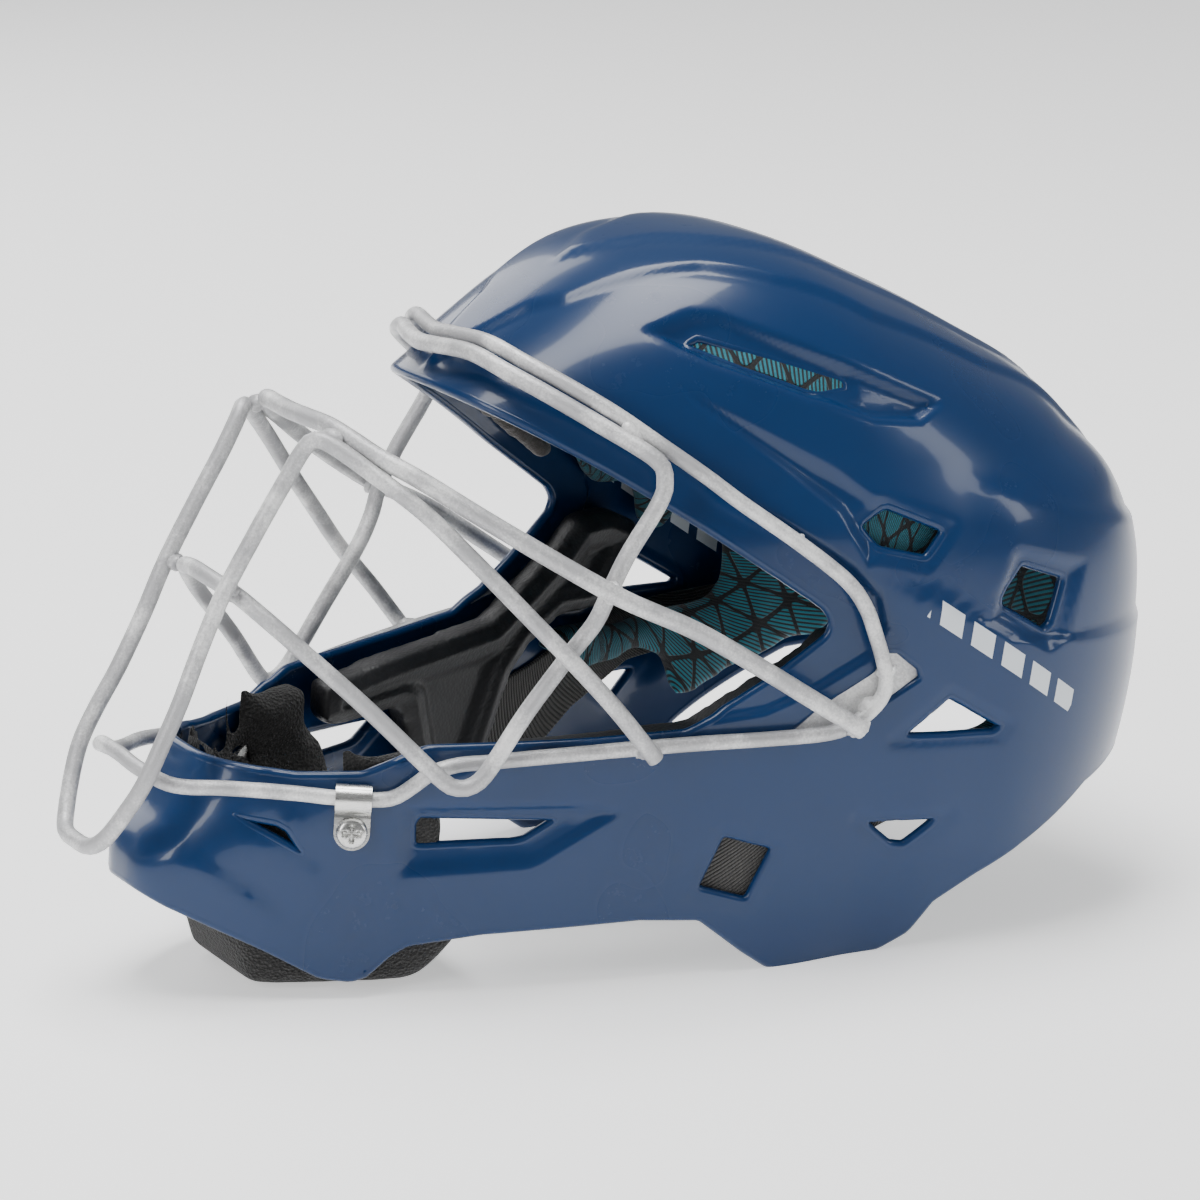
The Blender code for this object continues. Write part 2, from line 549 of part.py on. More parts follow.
def build_cage(mats):
    """The four welded wires of the cage."""
    lift = OUTER_WIRE / 2 + WIRE_STAND_OFF

    def on_side(x, z, extra=0.0):
        return side_skin(x, z) + side_normal(x, z) * (lift + extra)

    brow = [polar_lifted(a, -f, lift) for a, f in ((138.0, 0.0), (137.6, 0.12), (136.4, 0.33),
            (136.0, 0.52), (135.2, 0.65), (134.0, 0.77), (133.0, 0.855), (131.5, 0.914))]
    run = [on_side(x, z) for x, z in ((3, 143), (18, 131), (31, 119.5), (36.8, 111),
           (40, 102), (42.3, 94), (43.2, 88), (41.3, 82.5), (35, 77), (27, 74), (11, 73.5), (-11, 73.5), (-31, 73),
           (-53, 72), (-68, 71), (-76, 70.5), (-83, 68.5), (-88, 65), (-93, 61.8), (-98, 61), (-109, 61.7),
           (-119, 63))]
    nose = [drawn(*p) for p in ((-138.3, -28, 66), (-147.6, -22.8, 66.3), (-152.5, -19.5, 67.2),
            (-156, -17.5, 69.3), (-159.3, -12.5, 71.6), (-161.3, -6, 73.9), (-162, 0, 74.5))]
    wire("outer_frame_wire", mirrored(brow + run + nose), OUTER_WIRE, mats["cage"], True)

    lift2 = LOOP_WIRE / 2 + WIRE_STAND_OFF
    apart = math.degrees((OUTER_WIRE + LOOP_WIRE) / 2 / BROW_RADIUS)
    upper = [polar_lifted(a + apart * share, -f, lift2) for a, f, share in (
             (138.0, 0.0, 1.0), (137.6, 0.12, 1.0), (136.4, 0.33, 0.97), (136.0, 0.52, 1.0),
             (135.2, 0.65, 1.08), (134.0, 0.77, 1.18))]
    free = [drawn(*p) for p in ((-21, -69.5, 157), (-19.5, -72, 151), (-22, -73, 145),
            (-32, -72.5, 131), (-38, -72, 120), (-41.5, -70.5, 112), (-48, -67.8, 103),
            (-61, -65.5, 87), (-71, -64.6, 73.5), (-76, -64, 68), (-81, -62.5, 66.5),
            (-86, -59.5, 69.5), (-101, -45.5, 88), (-117, -32, 106), (-124.5, -23.5, 114.5),
            (-129, -16.5, 119.5), (-132.5, -9, 122.5), (-134, 0, 124))]
    wire("brow_loop_wire", mirrored(upper + free), LOOP_WIRE, mats["cage"], True)

    bar = [drawn(*p) for p in ((32, -97.5, 76), (20, -95.5, 84.5), (-14, -86.5, 108),
           (-39, -78.3, 121.5), (-66, -62, 140), (-84, -46, 153.5), (-92, -36, 159),
           (-97, -27, 163.5), (-100, -20, 166), (-101.5, -10, 166.5), (-102, 0, 166.5))]
    right = [Vector((p.x, -p.y, p.z)) for p in bar[:-1]]
    wire("eye_bar_wire", bar + right[::-1], EYE_BAR_WIRE, mats["cage"], False)

    beyond = (OUTER_WIRE + NOSE_WIRE) / 2 + 0.0014
    loop = [on_side(-26, 71, beyond)] + [drawn(*p) for p in ((-38, -77, 87), (-50, -74.5, 101.5),
            (-62, -67, 116.5), (-74, -59, 131.5), (-85, -49.5, 145), (-94.5, -38, 154.5),
            (-102, -29, 161.5), (-106, -24.5, 163.5), (-109, -22, 160.5), (-115, -21, 151),
            (-123.5, -20.5, 138), (-134, -20, 121), (-141, -20, 107), (-149, -21.5, 91),
            (-156, -22.8, 79), (-161.2, -22.8, 69.5), (-165.5, -19.5, 61), (-170, -14, 52),
            (-172.5, -8.5, 48.5), (-173, 0, 48))]
    right = [Vector((p.x, -p.y, p.z)) for p in loop[:-1]]
    wire("nose_loop_wire", loop + right[::-1], NOSE_WIRE, mats["cage"], False)


def build_pads(mats):
    wide = 0.2
    under = SHELL_WALL + FIT_GAP
    lining("crown_pad", CROWN_PAD, -wide, wide, under + CHANNEL_DEPTH, CROWN_PAD_THICKNESS,
           mats["liner"], channel=False)
    lining("brow_pad", BROW_PAD, -wide, wide, under, BROW_PAD_THICKNESS, mats["brow"],
           channel=False)
    strap_depth = under + STRAP_THICKNESS + FIT_GAP
    for side, label in ((-1, "left"), (1, "right")):
        near, far = sorted((side * 0.03, side * 0.2))
        lining("side_strap_" + label, SIDE_STRAP, near, far, under, STRAP_THICKNESS,
               mats["webbing"])
        lining("ear_pad_" + label, EAR_PAD, near, far, strap_depth + FIT_GAP, EAR_PAD_THICKNESS,
               mats["liner"])
        head_end = SHELL_WALL + BOSS_PROUD + SCREW_HEAD_THICKNESS + FIT_GAP * 2
        screw_pocket = boss_bar(side, PLATE_SCREW_HEAD + FIT_GAP * 2, 0.0, head_end, "screw_pocket")
        lining("jaw_pad_" + label, JAW_PAD, near, far, strap_depth, JAW_PAD_THICKNESS,
               mats["jaw"], (screw_pocket,))
    pockets = []
    for side in (-1, 1):
        pockets.append(clip_bar(side, TEE_NUT_FLANGE + FIT_GAP, -0.002,
                                under + TEE_NUT_SEAT + TEE_NUT_THICKNESS + FIT_GAP * 2, "pocket"))
        pockets.append(clip_bar(side, CLIP_SCREW_RADIUS + FIT_GAP * 2, -0.002, 0.008, "relief"))
    pad = form("chin_pad", under, False)
    carve(pad, [prism("outline", CHIN_PAD, -wide, wide), chin_keel()], "INTERSECT")
    carve(pad, [chin_cup(), *pockets])
    tidy_mesh(pad)
    finish(pad, "chin_pad", mats["chin"])


def chin_keel():
    """The rounded underside of the chin pad, cut flat where it rests."""
    bm = bmesh.new()
    bmesh.ops.create_uvsphere(bm, u_segments=32, v_segments=24, radius=1.0)
    middle = drawn(*CHIN_KEEL_CENTRE)
    reach = middle.x - drawn(*CHIN_KEEL_FRONT).x
    half = SHELL_WIDTH * CHIN_KEEL_HALF_SHARE
    bmesh.ops.scale(bm, vec=(reach, half, middle.z + CHIN_KEEL_SINK), verts=bm.verts[:])
    bmesh.ops.translate(bm, vec=middle, verts=bm.verts[:])
    return add_object("keel", bm)


def chin_cup():
    """The hollow that holds the chin, open above and behind."""
    bm = bmesh.new()
    bmesh.ops.create_uvsphere(bm, u_segments=28, v_segments=14, radius=1.0)
    front = skin(195.0, 0.0)
    middle = drawn(*CHIN_CUP_CENTRE)
    reach = middle.x - front.x - SHELL_WALL - CHIN_PAD_THICKNESS
    half = -side_skin(CHIN_CUP_CENTRE[0], 50.0).y - SHELL_WALL - CHIN_PAD_THICKNESS * 0.75
    bmesh.ops.scale(bm, vec=(reach, half, middle.z - CHIN_CUP_FLOOR), verts=bm.verts[:])
    bmesh.ops.translate(bm, vec=middle, verts=bm.verts[:])
    return add_object("cup", bm)


def build_back_plate(mats):
    """The nape plate swings on its top strap about a line across its top edge."""
    half = BACK_PLATE_WIDTH / 2
    outline = ((100, NAPE_BOTTOM), (100, NAPE_TOP - 1.5), (230, NAPE_TOP - 1.5),
               (230, NAPE_BOTTOM))
    plate = lining("back_plate", outline, -half, half, 0.0, SHELL_WALL, mats["shell"])
    pad_outline = ((100, NAPE_BOTTOM + 4), (100, NAPE_TOP - 8), (230, NAPE_TOP - 8),
                   (230, NAPE_BOTTOM + 4))
    pad = lining("back_plate_pad", pad_outline, -half + 0.004, half - 0.004,
                 SHELL_WALL + FIT_GAP + CHANNEL_DEPTH, BACK_PAD_THICKNESS, mats["liner"],
                 channel=False)
    hinge = bpy.data.objects.new("back_plate_hinge", None)
    bpy.context.collection.objects.link(hinge)
    hinge.location = Vector((*metres(HINGE[0], HINGE[1]), 0.0)).xzy
    bpy.context.view_layer.update()
    for piece in (plate, pad):
        piece.parent = hinge
        piece.matrix_parent_inverse = hinge.matrix_world.inverted()


def build_top_strap(mats):
    half = TOP_STRAP_WIDTH / 2
    sunk = CHANNEL_DEPTH - FIT_GAP - STRAP_THICKNESS
    outline = ((120, 88), (120, 150), (124, 157), (129, 168), (150, 175), (190, 130), (190, 88))
    lining("top_strap", outline, -half, half, sunk, STRAP_THICKNESS, mats["webbing"],
           channel=False)


def centre_over_origin():
    """Slide everything so that the middle of the whole mask stands over the origin."""
    bpy.context.view_layer.update()
    lengths = []
    for thing in bpy.data.objects:
        if thing.type == "MESH":
            lengths += [(thing.matrix_world @ vert.co).x for vert in thing.data.vertices]
    middle = (min(lengths) + max(lengths)) / 2
    for thing in bpy.data.objects:
        if not thing.parent:
            thing.location.x -= middle
    bpy.context.view_layer.update()
    print(f"slid by {-middle * 1000:.2f} mm")


def main():
    clear_scene()
    mats = {
        "shell": material("navy_shell", (0.012, 0.045, 0.145), 0.22),
        "cage": material("silver_powder_coat", (0.72, 0.72, 0.70), 0.45, 0.35),
        "steel": material("bright_steel", (0.62, 0.62, 0.60), 0.25, 1.0),
        "liner": material("teal_mesh_liner", (0.01, 0.20, 0.27), 0.85),
        "brow": material("brow_pad_cover", (0.06, 0.05, 0.045), 0.8),
        "jaw": material("moulded_black_foam", (0.012, 0.012, 0.013), 0.5),
        "chin": material("black_loop_fabric", (0.018, 0.017, 0.017), 0.95),
        "webbing": material("black_webbing", (0.015, 0.013, 0.012), 0.8),
    }
    build_shell(mats)
    build_cage(mats)
    for side, label in ((-1, "left"), (1, "right")):
        build_side_plate(side, label, mats)
        build_clip(side, label, mats)
    build_pads(mats)
    build_back_plate(mats)
    build_top_strap(mats)
    centre_over_origin()


main()
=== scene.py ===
# %% [markdown]
# # A catcher's mask
# This notebook dresses a hockey-style catcher's mask. The engineering model is loaded first
# and stays where it is. Every visible piece is then made around it: the moulded shell, the
# bent wire cage, the padded liner, the straps and the small steel parts.

# %% Load the engineering model
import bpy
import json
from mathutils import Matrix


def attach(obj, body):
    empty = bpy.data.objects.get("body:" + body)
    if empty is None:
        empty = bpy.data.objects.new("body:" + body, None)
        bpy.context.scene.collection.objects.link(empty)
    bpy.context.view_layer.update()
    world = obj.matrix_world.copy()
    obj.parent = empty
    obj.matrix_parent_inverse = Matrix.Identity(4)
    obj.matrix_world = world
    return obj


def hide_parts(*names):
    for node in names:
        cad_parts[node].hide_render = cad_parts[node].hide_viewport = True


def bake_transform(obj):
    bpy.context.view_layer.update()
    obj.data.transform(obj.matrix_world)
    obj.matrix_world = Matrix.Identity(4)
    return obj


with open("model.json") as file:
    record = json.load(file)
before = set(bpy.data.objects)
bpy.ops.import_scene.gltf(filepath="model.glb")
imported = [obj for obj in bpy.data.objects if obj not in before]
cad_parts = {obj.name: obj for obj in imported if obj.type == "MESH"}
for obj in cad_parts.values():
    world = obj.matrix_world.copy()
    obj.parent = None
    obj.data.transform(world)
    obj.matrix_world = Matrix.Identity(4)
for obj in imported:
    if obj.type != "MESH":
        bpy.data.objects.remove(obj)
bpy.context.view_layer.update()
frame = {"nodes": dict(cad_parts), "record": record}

import json
import math

import bmesh
import bpy
import numpy as np
from mathutils import Matrix, Vector

MM = 0.001

# %% [markdown]
# ## The skin as a formula
# The whole shell is one rounded form. Seen from the side it is a closed outline around a
# hub, and across it swells like a superellipse. A formula is better here than a sculpted
# mesh, because the wires, pads and straps that follow the skin can all ask it for a place
# and a direction, and they then fit each other without any measuring.

# %% The skin's outline and width
HINGE = frame["record"]["behaviour"]["joints"][0]["pos_m"]
ORIGIN_X = HINGE[0] / MM - 160.0      # the side view was drawn with the hinge at x = 160
HUB_X, HUB_Z = 40.0, 99.0
HALF_WIDTH = 104.0
WALL = 3.5
ROUNDNESS = 2.7                       # superellipse power of the cross-section
CHIN_ROUNDNESS = 0.8                  # added to it towards the chin
CHIN_DIRECTION = 200.0                # degrees around the hub
TAPER_START, TAPER_SOFTNESS = 75.0, 30.0
TAPER_RATE = 0.0031
OUTLINE = {-90: 150, -60: 150, -30: 132, -10: 126, 10: 124, 30: 113, 50: 102, 70: 101, 90: 109,
           110: 116, 130: 121, 140: 127, 150: 138, 170: 178, 184: 177, 189: 180, 193: 190,
           196.5: 205, 200: 208, 210: 215, 225: 225, 250: 200}
ANGLES = np.array([a + turn for turn in (-360, 0, 360) for a in OUTLINE], float)
RADII = np.array([r for turn in (-360, 0, 360) for r in OUTLINE.values()], float)
SLOPES = np.zeros_like(RADII)          # the two ends are never asked for
SLOPES[1:-1] = (RADII[2:] - RADII[:-2]) / (ANGLES[2:] - ANGLES[:-2])


def outline_radius(angle):
    """Radius of the side view around the hub, by a cubic through the drawn radii."""
    angle = (np.asarray(angle, float) + 90.0) % 360.0 - 90.0
    i = np.clip(np.searchsorted(ANGLES, angle, side="right") - 1, 0, len(ANGLES) - 2)
    span = ANGLES[i + 1] - ANGLES[i]
    u = (angle - ANGLES[i]) / span
    return ((2 * u ** 3 - 3 * u ** 2 + 1) * RADII[i] + (u ** 3 - 2 * u ** 2 + u) * span * SLOPES[i]
            + (3 * u ** 2 - 2 * u ** 3) * RADII[i + 1] + (u ** 3 - u ** 2) * span * SLOPES[i + 1])


def soft_step(value):
    value = np.clip(value, 0.0, 1.0)
    return value * value * (3.0 - 2.0 * value)


def power(angle):
    """Superellipse power of the cross-section, blunter at the chin."""
    near_chin = soft_step((np.cos(np.radians(angle - CHIN_DIRECTION)) - 0.6) / 0.4)
    return ROUNDNESS + CHIN_ROUNDNESS * near_chin


def taper(x):
    """Share of the full width: the skin narrows towards the chin."""
    ahead = (TAPER_START - np.asarray(x, float)) / TAPER_SOFTNESS
    return 1.0 - TAPER_RATE * TAPER_SOFTNESS * np.log1p(np.exp(ahead))


def drawn(points):
    """Side-view coordinates x, z and signed y of points in metres, in millimetres."""
    points = np.asarray(points, float) / MM
    return points[..., 0] - ORIGIN_X, points[..., 2], points[..., 1]


def placed(x, z, y):
    """Points in metres from side-view x, z and signed y in millimetres."""
    return np.stack(np.broadcast_arrays(x + ORIGIN_X, y, z), axis=-1) * MM


def fullness(points):
    """1 on the skin, less inside it and more outside."""
    x, z, y = drawn(points)
    angle = np.degrees(np.arctan2(z - HUB_Z, x - HUB_X))
    rho = np.hypot(x - HUB_X, z - HUB_Z) / outline_radius(angle)
    zeta = np.abs(y) / (HALF_WIDTH * taper(x))
    shape = power(angle)
    return (rho ** shape + zeta ** shape) ** (1.0 / shape)


NORMAL_STEP = 0.0008                   # metres between the places that give a slope


def outward(points):
    """Unit normals of the skin."""
    points = np.asarray(points, float)
    slope = np.stack([fullness(points + NORMAL_STEP * axis) - fullness(points - NORMAL_STEP * axis)
                      for axis in np.eye(3)], axis=-1)
    return slope / np.linalg.norm(slope, axis=-1, keepdims=True)


def settle(points, lift=0.0):
    """Move points onto the skin along rays from the hub, then lift them in millimetres."""
    points = np.array(points, float)
    for _ in range(3):
        x, z, y = drawn(points)
        full = fullness(points)
        new_x = HUB_X + (x - HUB_X) / full
        points = placed(new_x, HUB_Z + (z - HUB_Z) / full, y / full * taper(new_x) / taper(x))
    lift = np.broadcast_to(np.asarray(lift, float), points.shape[:-1])
    return points + outward(points) * lift[..., None] * MM


def on_side(x, z, lift=0.0, side=-1):
    """A point on one side of the skin, from its place in the side view."""
    angle = math.degrees(math.atan2(z - HUB_Z, x - HUB_X))
    shape = float(power(angle))
    rho = min(math.hypot(x - HUB_X, z - HUB_Z) / float(outline_radius(angle)), 1.0)
    y = side * HALF_WIDTH * float(taper(x)) * (1.0 - rho ** shape) ** (1.0 / shape)
    point = placed(x, z, y)
    return Vector(point + outward(point) * lift * MM)


def on_crown(angle, fraction, lift=0.0):
    """A point of the skin from its direction around the hub and its share of the width."""
    shape = float(power(angle))
    reach = (1.0 - abs(fraction) ** shape) ** (1.0 / shape) * float(outline_radius(angle))
    x = HUB_X + reach * math.cos(math.radians(angle))
    z = HUB_Z + reach * math.sin(math.radians(angle))
    point = placed(x, z, fraction * HALF_WIDTH * float(taper(x)))
    return Vector(point + outward(point) * lift * MM)


print("crown at", [round(v / MM, 1) for v in on_crown(80.0, 0.0)])

# %% [markdown]
# ## Camera, floor and studio light
# A long lens from one and a half metres away keeps the cage and the nape in proportion. The
# floor is plain and pale, and large soft lamps give the glossy shell its broad highlights.

# %% Camera
TARGET = Vector((ORIGIN_X * MM, 0.0, 0.096))
AZIMUTH, ELEVATION = math.radians(-29.5), math.radians(15.5)
DISTANCE = 1.42
back = Vector((math.sin(AZIMUTH) * math.cos(ELEVATION), -math.cos(AZIMUTH) * math.cos(ELEVATION),
               math.sin(ELEVATION)))
camera_data = bpy.data.cameras.new("studio_camera")
camera_data.lens = 141.0
camera_data.sensor_width = 36.0
camera_data.clip_end = 50.0
camera = bpy.data.objects.new("studio_camera", camera_data)
camera.location = TARGET + back * DISTANCE
camera.rotation_euler = back.to_track_quat("Z", "Y").to_euler()
bpy.context.collection.objects.link(camera)
bpy.context.scene.camera = camera


LAMP_AIM = Vector((0.0, 0.0, 0.09))


def lamp(name, location, size, watts):
    """A square soft box aimed at the mask."""
    data = bpy.data.lights.new(name, "AREA")
    data.shape = "RECTANGLE"
    data.size, data.size_y = size
    data.energy = watts
    thing = bpy.data.objects.new(name, data)
    thing.location = location
    thing.rotation_euler = (Vector(location) - LAMP_AIM).to_track_quat("Z", "Y").to_euler()
    bpy.context.collection.objects.link(thing)


lamp("top_soft_box", (-0.1, 0.1, 1.7), (1.5, 0.7), 40.0)
lamp("front_soft_box", (-1.7, -0.5, 0.9), (0.4, 1.1), 13.0)
lamp("rear_soft_box", (1.3, -1.3, 0.9), (0.4, 0.9), 7.0)
lamp("far_side_soft_box", (-0.2, 1.6, 0.9), (1.2, 0.8), 12.0)

world = bpy.data.worlds.new("pale_studio")
bpy.context.scene.world = world
world.use_nodes = True
world.node_tree.nodes["Background"].inputs["Color"].default_value = (0.95, 0.96, 0.98, 1.0)
world.node_tree.nodes["Background"].inputs["Strength"].default_value = 0.28
print("camera stands at", [round(v, 3) for v in camera.location])

# %% [markdown]
# ## Writing materials as sums
# A node tree is a formula, so it reads best as one. The class below wraps a node's output
# socket, and the usual signs then add Math nodes. Everything else comes from one method
# that takes a node's type, its settings and the values of its sockets.

# %% The shader helper


class Value:
    """A socket that can be added, multiplied and compared like a number."""

    def __init__(self, paint, socket):
        self.paint = paint
        self.socket = socket

    def _math(self, operation, *others):
        return self.paint.node("ShaderNodeMath", {"operation": operation}, [self, *others])

    def __add__(self, other):
        return self._math("ADD", other)

    __radd__ = __add__

    def __mul__(self, other):
        return self._math("MULTIPLY", other)

    __rmul__ = __mul__

    def __sub__(self, other):
        return self._math("SUBTRACT", other)

    def __rsub__(self, other):
        return self.paint.node("ShaderNodeMath", {"operation": "SUBTRACT"}, [other, self])

    def __truediv__(self, other):
        return self._math("DIVIDE", other)

    def __rtruediv__(self, other):
        return self.paint.node("ShaderNodeMath", {"operation": "DIVIDE"}, [other, self])

    def __gt__(self, other):
        return self._math("GREATER_THAN", other)

    def __lt__(self, other):
        return self._math("LESS_THAN", other)

    def __abs__(self):
        return self._math("ABSOLUTE")

    def repeat(self):
        return self._math("FRACT")

    def between(self, low, high):
        """0 below low, 1 above high and smooth between them."""
        return self.paint.node("ShaderNodeMapRange", {"interpolation_type": "SMOOTHSTEP"},
                               {"Value": self, "From Min": low, "From Max": high})

    def part(self, number):
        """One coordinate of a vector."""
        parts = self.paint.node("ShaderNodeSeparateXYZ", {}, [self])
        return Value(self.paint, parts.socket.node.outputs[number])


class Paint:
    """One material, with the Principled shader ready for use."""

    def __init__(self, name, colour, roughness, metallic=0.0, **constants):
        self.material = bpy.data.materials.new(name)
        self.material.use_nodes = True
        self.tree = self.material.node_tree
        self.shader = self.tree.nodes["Principled BSDF"]
        self.put("Base Color", (*colour, 1.0))
        self.put("Roughness", roughness)
        self.put("Metallic", metallic)
        for socket, value in constants.items():
            self.put(socket.replace("_", " "), value)

    def put(self, socket, value):
        """Set a socket of the shader to a number, or link a value to it."""
        if isinstance(value, Value):
            self.tree.links.new(value.socket, self.shader.inputs[socket])
        else:
            self.shader.inputs[socket].default_value = value

    def node(self, kind, settings, inputs, output=0):
        made = self.tree.nodes.new(kind)
        for key, value in settings.items():
            if key == "stops":
                ramp = made.color_ramp
                while len(ramp.elements) < len(value):
                    ramp.elements.new(0.5)
                for element, (place, colour) in zip(ramp.elements, value):
                    element.position = place
                    element.color = (*colour, 1.0)
            else:
                setattr(made, key, value)
        pairs = inputs.items() if isinstance(inputs, dict) else enumerate(inputs)
        for key, value in pairs:
            if isinstance(value, Value):
                self.tree.links.new(value.socket, made.inputs[key])
            else:
                made.inputs[key].default_value = value
        return Value(self, made.outputs[output])

    def here(self):
        """Object coordinates."""
        return self.node("ShaderNodeTexCoord", {}, [], "Object")

    def chart(self):
        """The piece's own map, in millimetres along its surface."""
        return self.node("ShaderNodeUVMap", {"uv_map": "UVMap"}, [], "UV")

    def noise(self, where, scale, detail=3.0, rough=0.55):
        return self.node("ShaderNodeTexNoise", {}, {"Vector": where, "Scale": scale,
                                                    "Detail": detail, "Roughness": rough}, "Fac")

    def cells(self, where, scale):
        return self.node("ShaderNodeTexVoronoi", {"feature": "F1"},
                         {"Vector": where, "Scale": scale}, "Distance")

    def mix(self, factor, low, high):
        """A colour between two colours."""
        made = self.node("ShaderNodeMix", {"data_type": "RGBA"}, {0: factor}, 2)
        for index, colour in ((6, low), (7, high)):
            socket = made.socket.node.inputs[index]
            if isinstance(colour, Value):
                self.tree.links.new(colour.socket, socket)
            else:
                socket.default_value = (*colour, 1.0)
        return made

    def relief(self, height, distance, strength=1.0):
        """Bump from a height of 0 to 1 that stands for a distance in metres."""
        self.put("Normal", self.node("ShaderNodeBump", {}, {"Height": height,
                                     "Distance": distance, "Strength": strength}))


def dress(thing, paint):
    """Give an object one material."""
    thing.data.materials.clear()
    thing.data.materials.append(paint.material)


# %% [markdown]
# ## The studio floor
# One large sheet with a faint grain is enough.

# %% Floor
bm = bmesh.new()
bmesh.ops.create_grid(bm, x_segments=8, y_segments=8, size=6.0)
mesh = bpy.data.meshes.new("studio_floor")
bm.to_mesh(mesh)
bm.free()
floor = bpy.data.objects.new("studio_floor", mesh)
bpy.context.collection.objects.link(floor)
floor_paint = Paint("pale_studio_floor", (0.94, 0.94, 0.94), 0.75)
grain = floor_paint.noise(floor_paint.here(), 40.0)
floor_paint.put("Base Color", floor_paint.mix(grain, (0.93, 0.93, 0.93), (0.96, 0.96, 0.96)))
floor_paint.put("Emission Color", (1.0, 1.0, 1.0, 1.0))
floor_paint.put("Emission Strength", 0.62)
dress(floor, floor_paint)
print("floor is", round(floor.dimensions.x, 1), "m wide")

# %% [markdown]
# ## Paints for the hard parts
# The shell is moulded plastic: a saturated navy body under a clear gloss, with faint
# waviness from the mould and fine scuffs. The cage is steel wire dipped in a silver-white
# powder coat, which is slightly rough, speckled and worn darker in random patches. The
# clips and screws are bright plated steel with fine rolling lines.

# %% Shell, cage and steel paints
STRIPE_AT = (57.0, 108.0)             # start of the stripe in the side view
STRIPE_COS, STRIPE_SIN = 0.813, 0.583  # how far it slopes down to the back
STRIPE_HALF_LENGTH = 31.0
BAR_PITCH, BAR_GAP, BAR_LEAN = 12.4, 0.3, 0.5
BAR_HALF_HEIGHT = 3.2
STRIPE_FLANK = 60.0                   # it shows only this far out from the middle


def navy_shell():
    paint = Paint("navy_moulded_shell", (0.0065, 0.032, 0.098), 0.3, Coat_Weight=0.3,
                  Coat_Roughness=0.08, Specular_IOR_Level=0.25)
    where = paint.here()
    cloud = paint.noise(where, 14.0, 2.0)
    scuff = paint.noise(where, 160.0, 4.0, 0.7).between(0.6, 0.8)
    body = paint.mix(cloud, (0.0022, 0.0210, 0.078), (0.0036, 0.0290, 0.100))
    across = abs(where.part(1)) * 1000.0
    along = where.part(0) * 1000.0 - ORIGIN_X
    rising = where.part(2) * 1000.0
    run = (along - STRIPE_AT[0]) * STRIPE_COS - (rising - STRIPE_AT[1]) * STRIPE_SIN
    off = (along - STRIPE_AT[0]) * STRIPE_SIN + (rising - STRIPE_AT[1]) * STRIPE_COS
    band = abs(off - 1.0) < BAR_HALF_HEIGHT
    band = band * (abs(run - STRIPE_HALF_LENGTH) < STRIPE_HALF_LENGTH) * (across > STRIPE_FLANK)
    bars = ((run + off * BAR_LEAN) / BAR_PITCH).repeat() > BAR_GAP
    stripe = band * bars
    paint.put("Base Color", paint.mix(stripe, body, (0.62, 0.66, 0.7)))
    paint.put("Roughness", cloud * 0.08 + 0.24 + scuff * 0.14)
    wavy = paint.noise(where, 22.0, 1.0)
    grit = paint.noise(where, 900.0, 2.0)
    paint.relief(wavy + grit * 0.008, 0.0004, 0.3)
    return paint


def powder_coat():
    paint = Paint("silver_white_powder_coat", (0.7, 0.7, 0.7), 0.42, 0.25)
    where = paint.here()
    cloud = paint.noise(where, 55.0, 4.0, 0.6)
    speck = paint.noise(where, 1400.0, 2.0, 0.6)
    worn = (cloud + speck * 0.35).between(0.42, 0.78)
    paint.put("Base Color", paint.mix(worn, (0.8, 0.8, 0.79), (0.42, 0.42, 0.43)))
    paint.put("Roughness", worn * 0.15 + 0.36)
    paint.put("Metallic", worn * 0.35 + 0.1)
    paint.relief(speck + cloud * 0.6, 0.00025, 0.7)
    return paint


def plated_steel():
    paint = Paint("bright_plated_steel", (0.62, 0.62, 0.6), 0.22, 1.0)
    where = paint.here()
    stretched = paint.node("ShaderNodeMapping", {},
                           {"Vector": where, "Scale": (60.0, 60.0, 2400.0)})
    lines = paint.noise(stretched, 1.0, 2.0)
    stain = paint.noise(where, 160.0, 3.0)
    paint.put("Base Color", paint.mix(stain.between(0.4, 0.7), (0.68, 0.68, 0.66),
                                      (0.45, 0.45, 0.44)))
    paint.put("Roughness", lines * 0.16 + 0.16 + stain * 0.06)
    paint.relief(lines, 0.00003, 0.6)
    return paint


SHELL_PAINT = navy_shell()
CAGE_PAINT = powder_coat()
STEEL_PAINT = plated_steel()
print("paints:", [paint.material.name for paint in (SHELL_PAINT, CAGE_PAINT, STEEL_PAINT)])

# %% [markdown]
# ## Relief of the shell
# A moulded shell is stiffened by steps, channels and scoops. Each one is a line or an
# outline in the side view, and the skin rises or sinks by how far it lies from that line.
# Working from distances gives every step the same soft corner radius, as a mould has.

# %% Distances from drawn lines


def beside(u, v, line):
    """Signed distance from an open line, positive on its left as it is walked."""
    best = np.full(np.shape(u), 1e9)
    signed = np.zeros(np.shape(u))
    for (ax, ay), (bx, by) in zip(line, line[1:]):
        dx, dy = bx - ax, by - ay
        share = np.clip(((u - ax) * dx + (v - ay) * dy) / (dx * dx + dy * dy), 0.0, 1.0)
        px, py = u - ax - share * dx, v - ay - share * dy
        distance = np.hypot(px, py)
        side = np.where(dx * (v - ay) - dy * (u - ax) >= 0, 1.0, -1.0)
        nearer = distance < best - 1e-9
        signed = np.where(nearer, side * distance, signed)
        best = np.where(nearer, distance, best)
    return signed


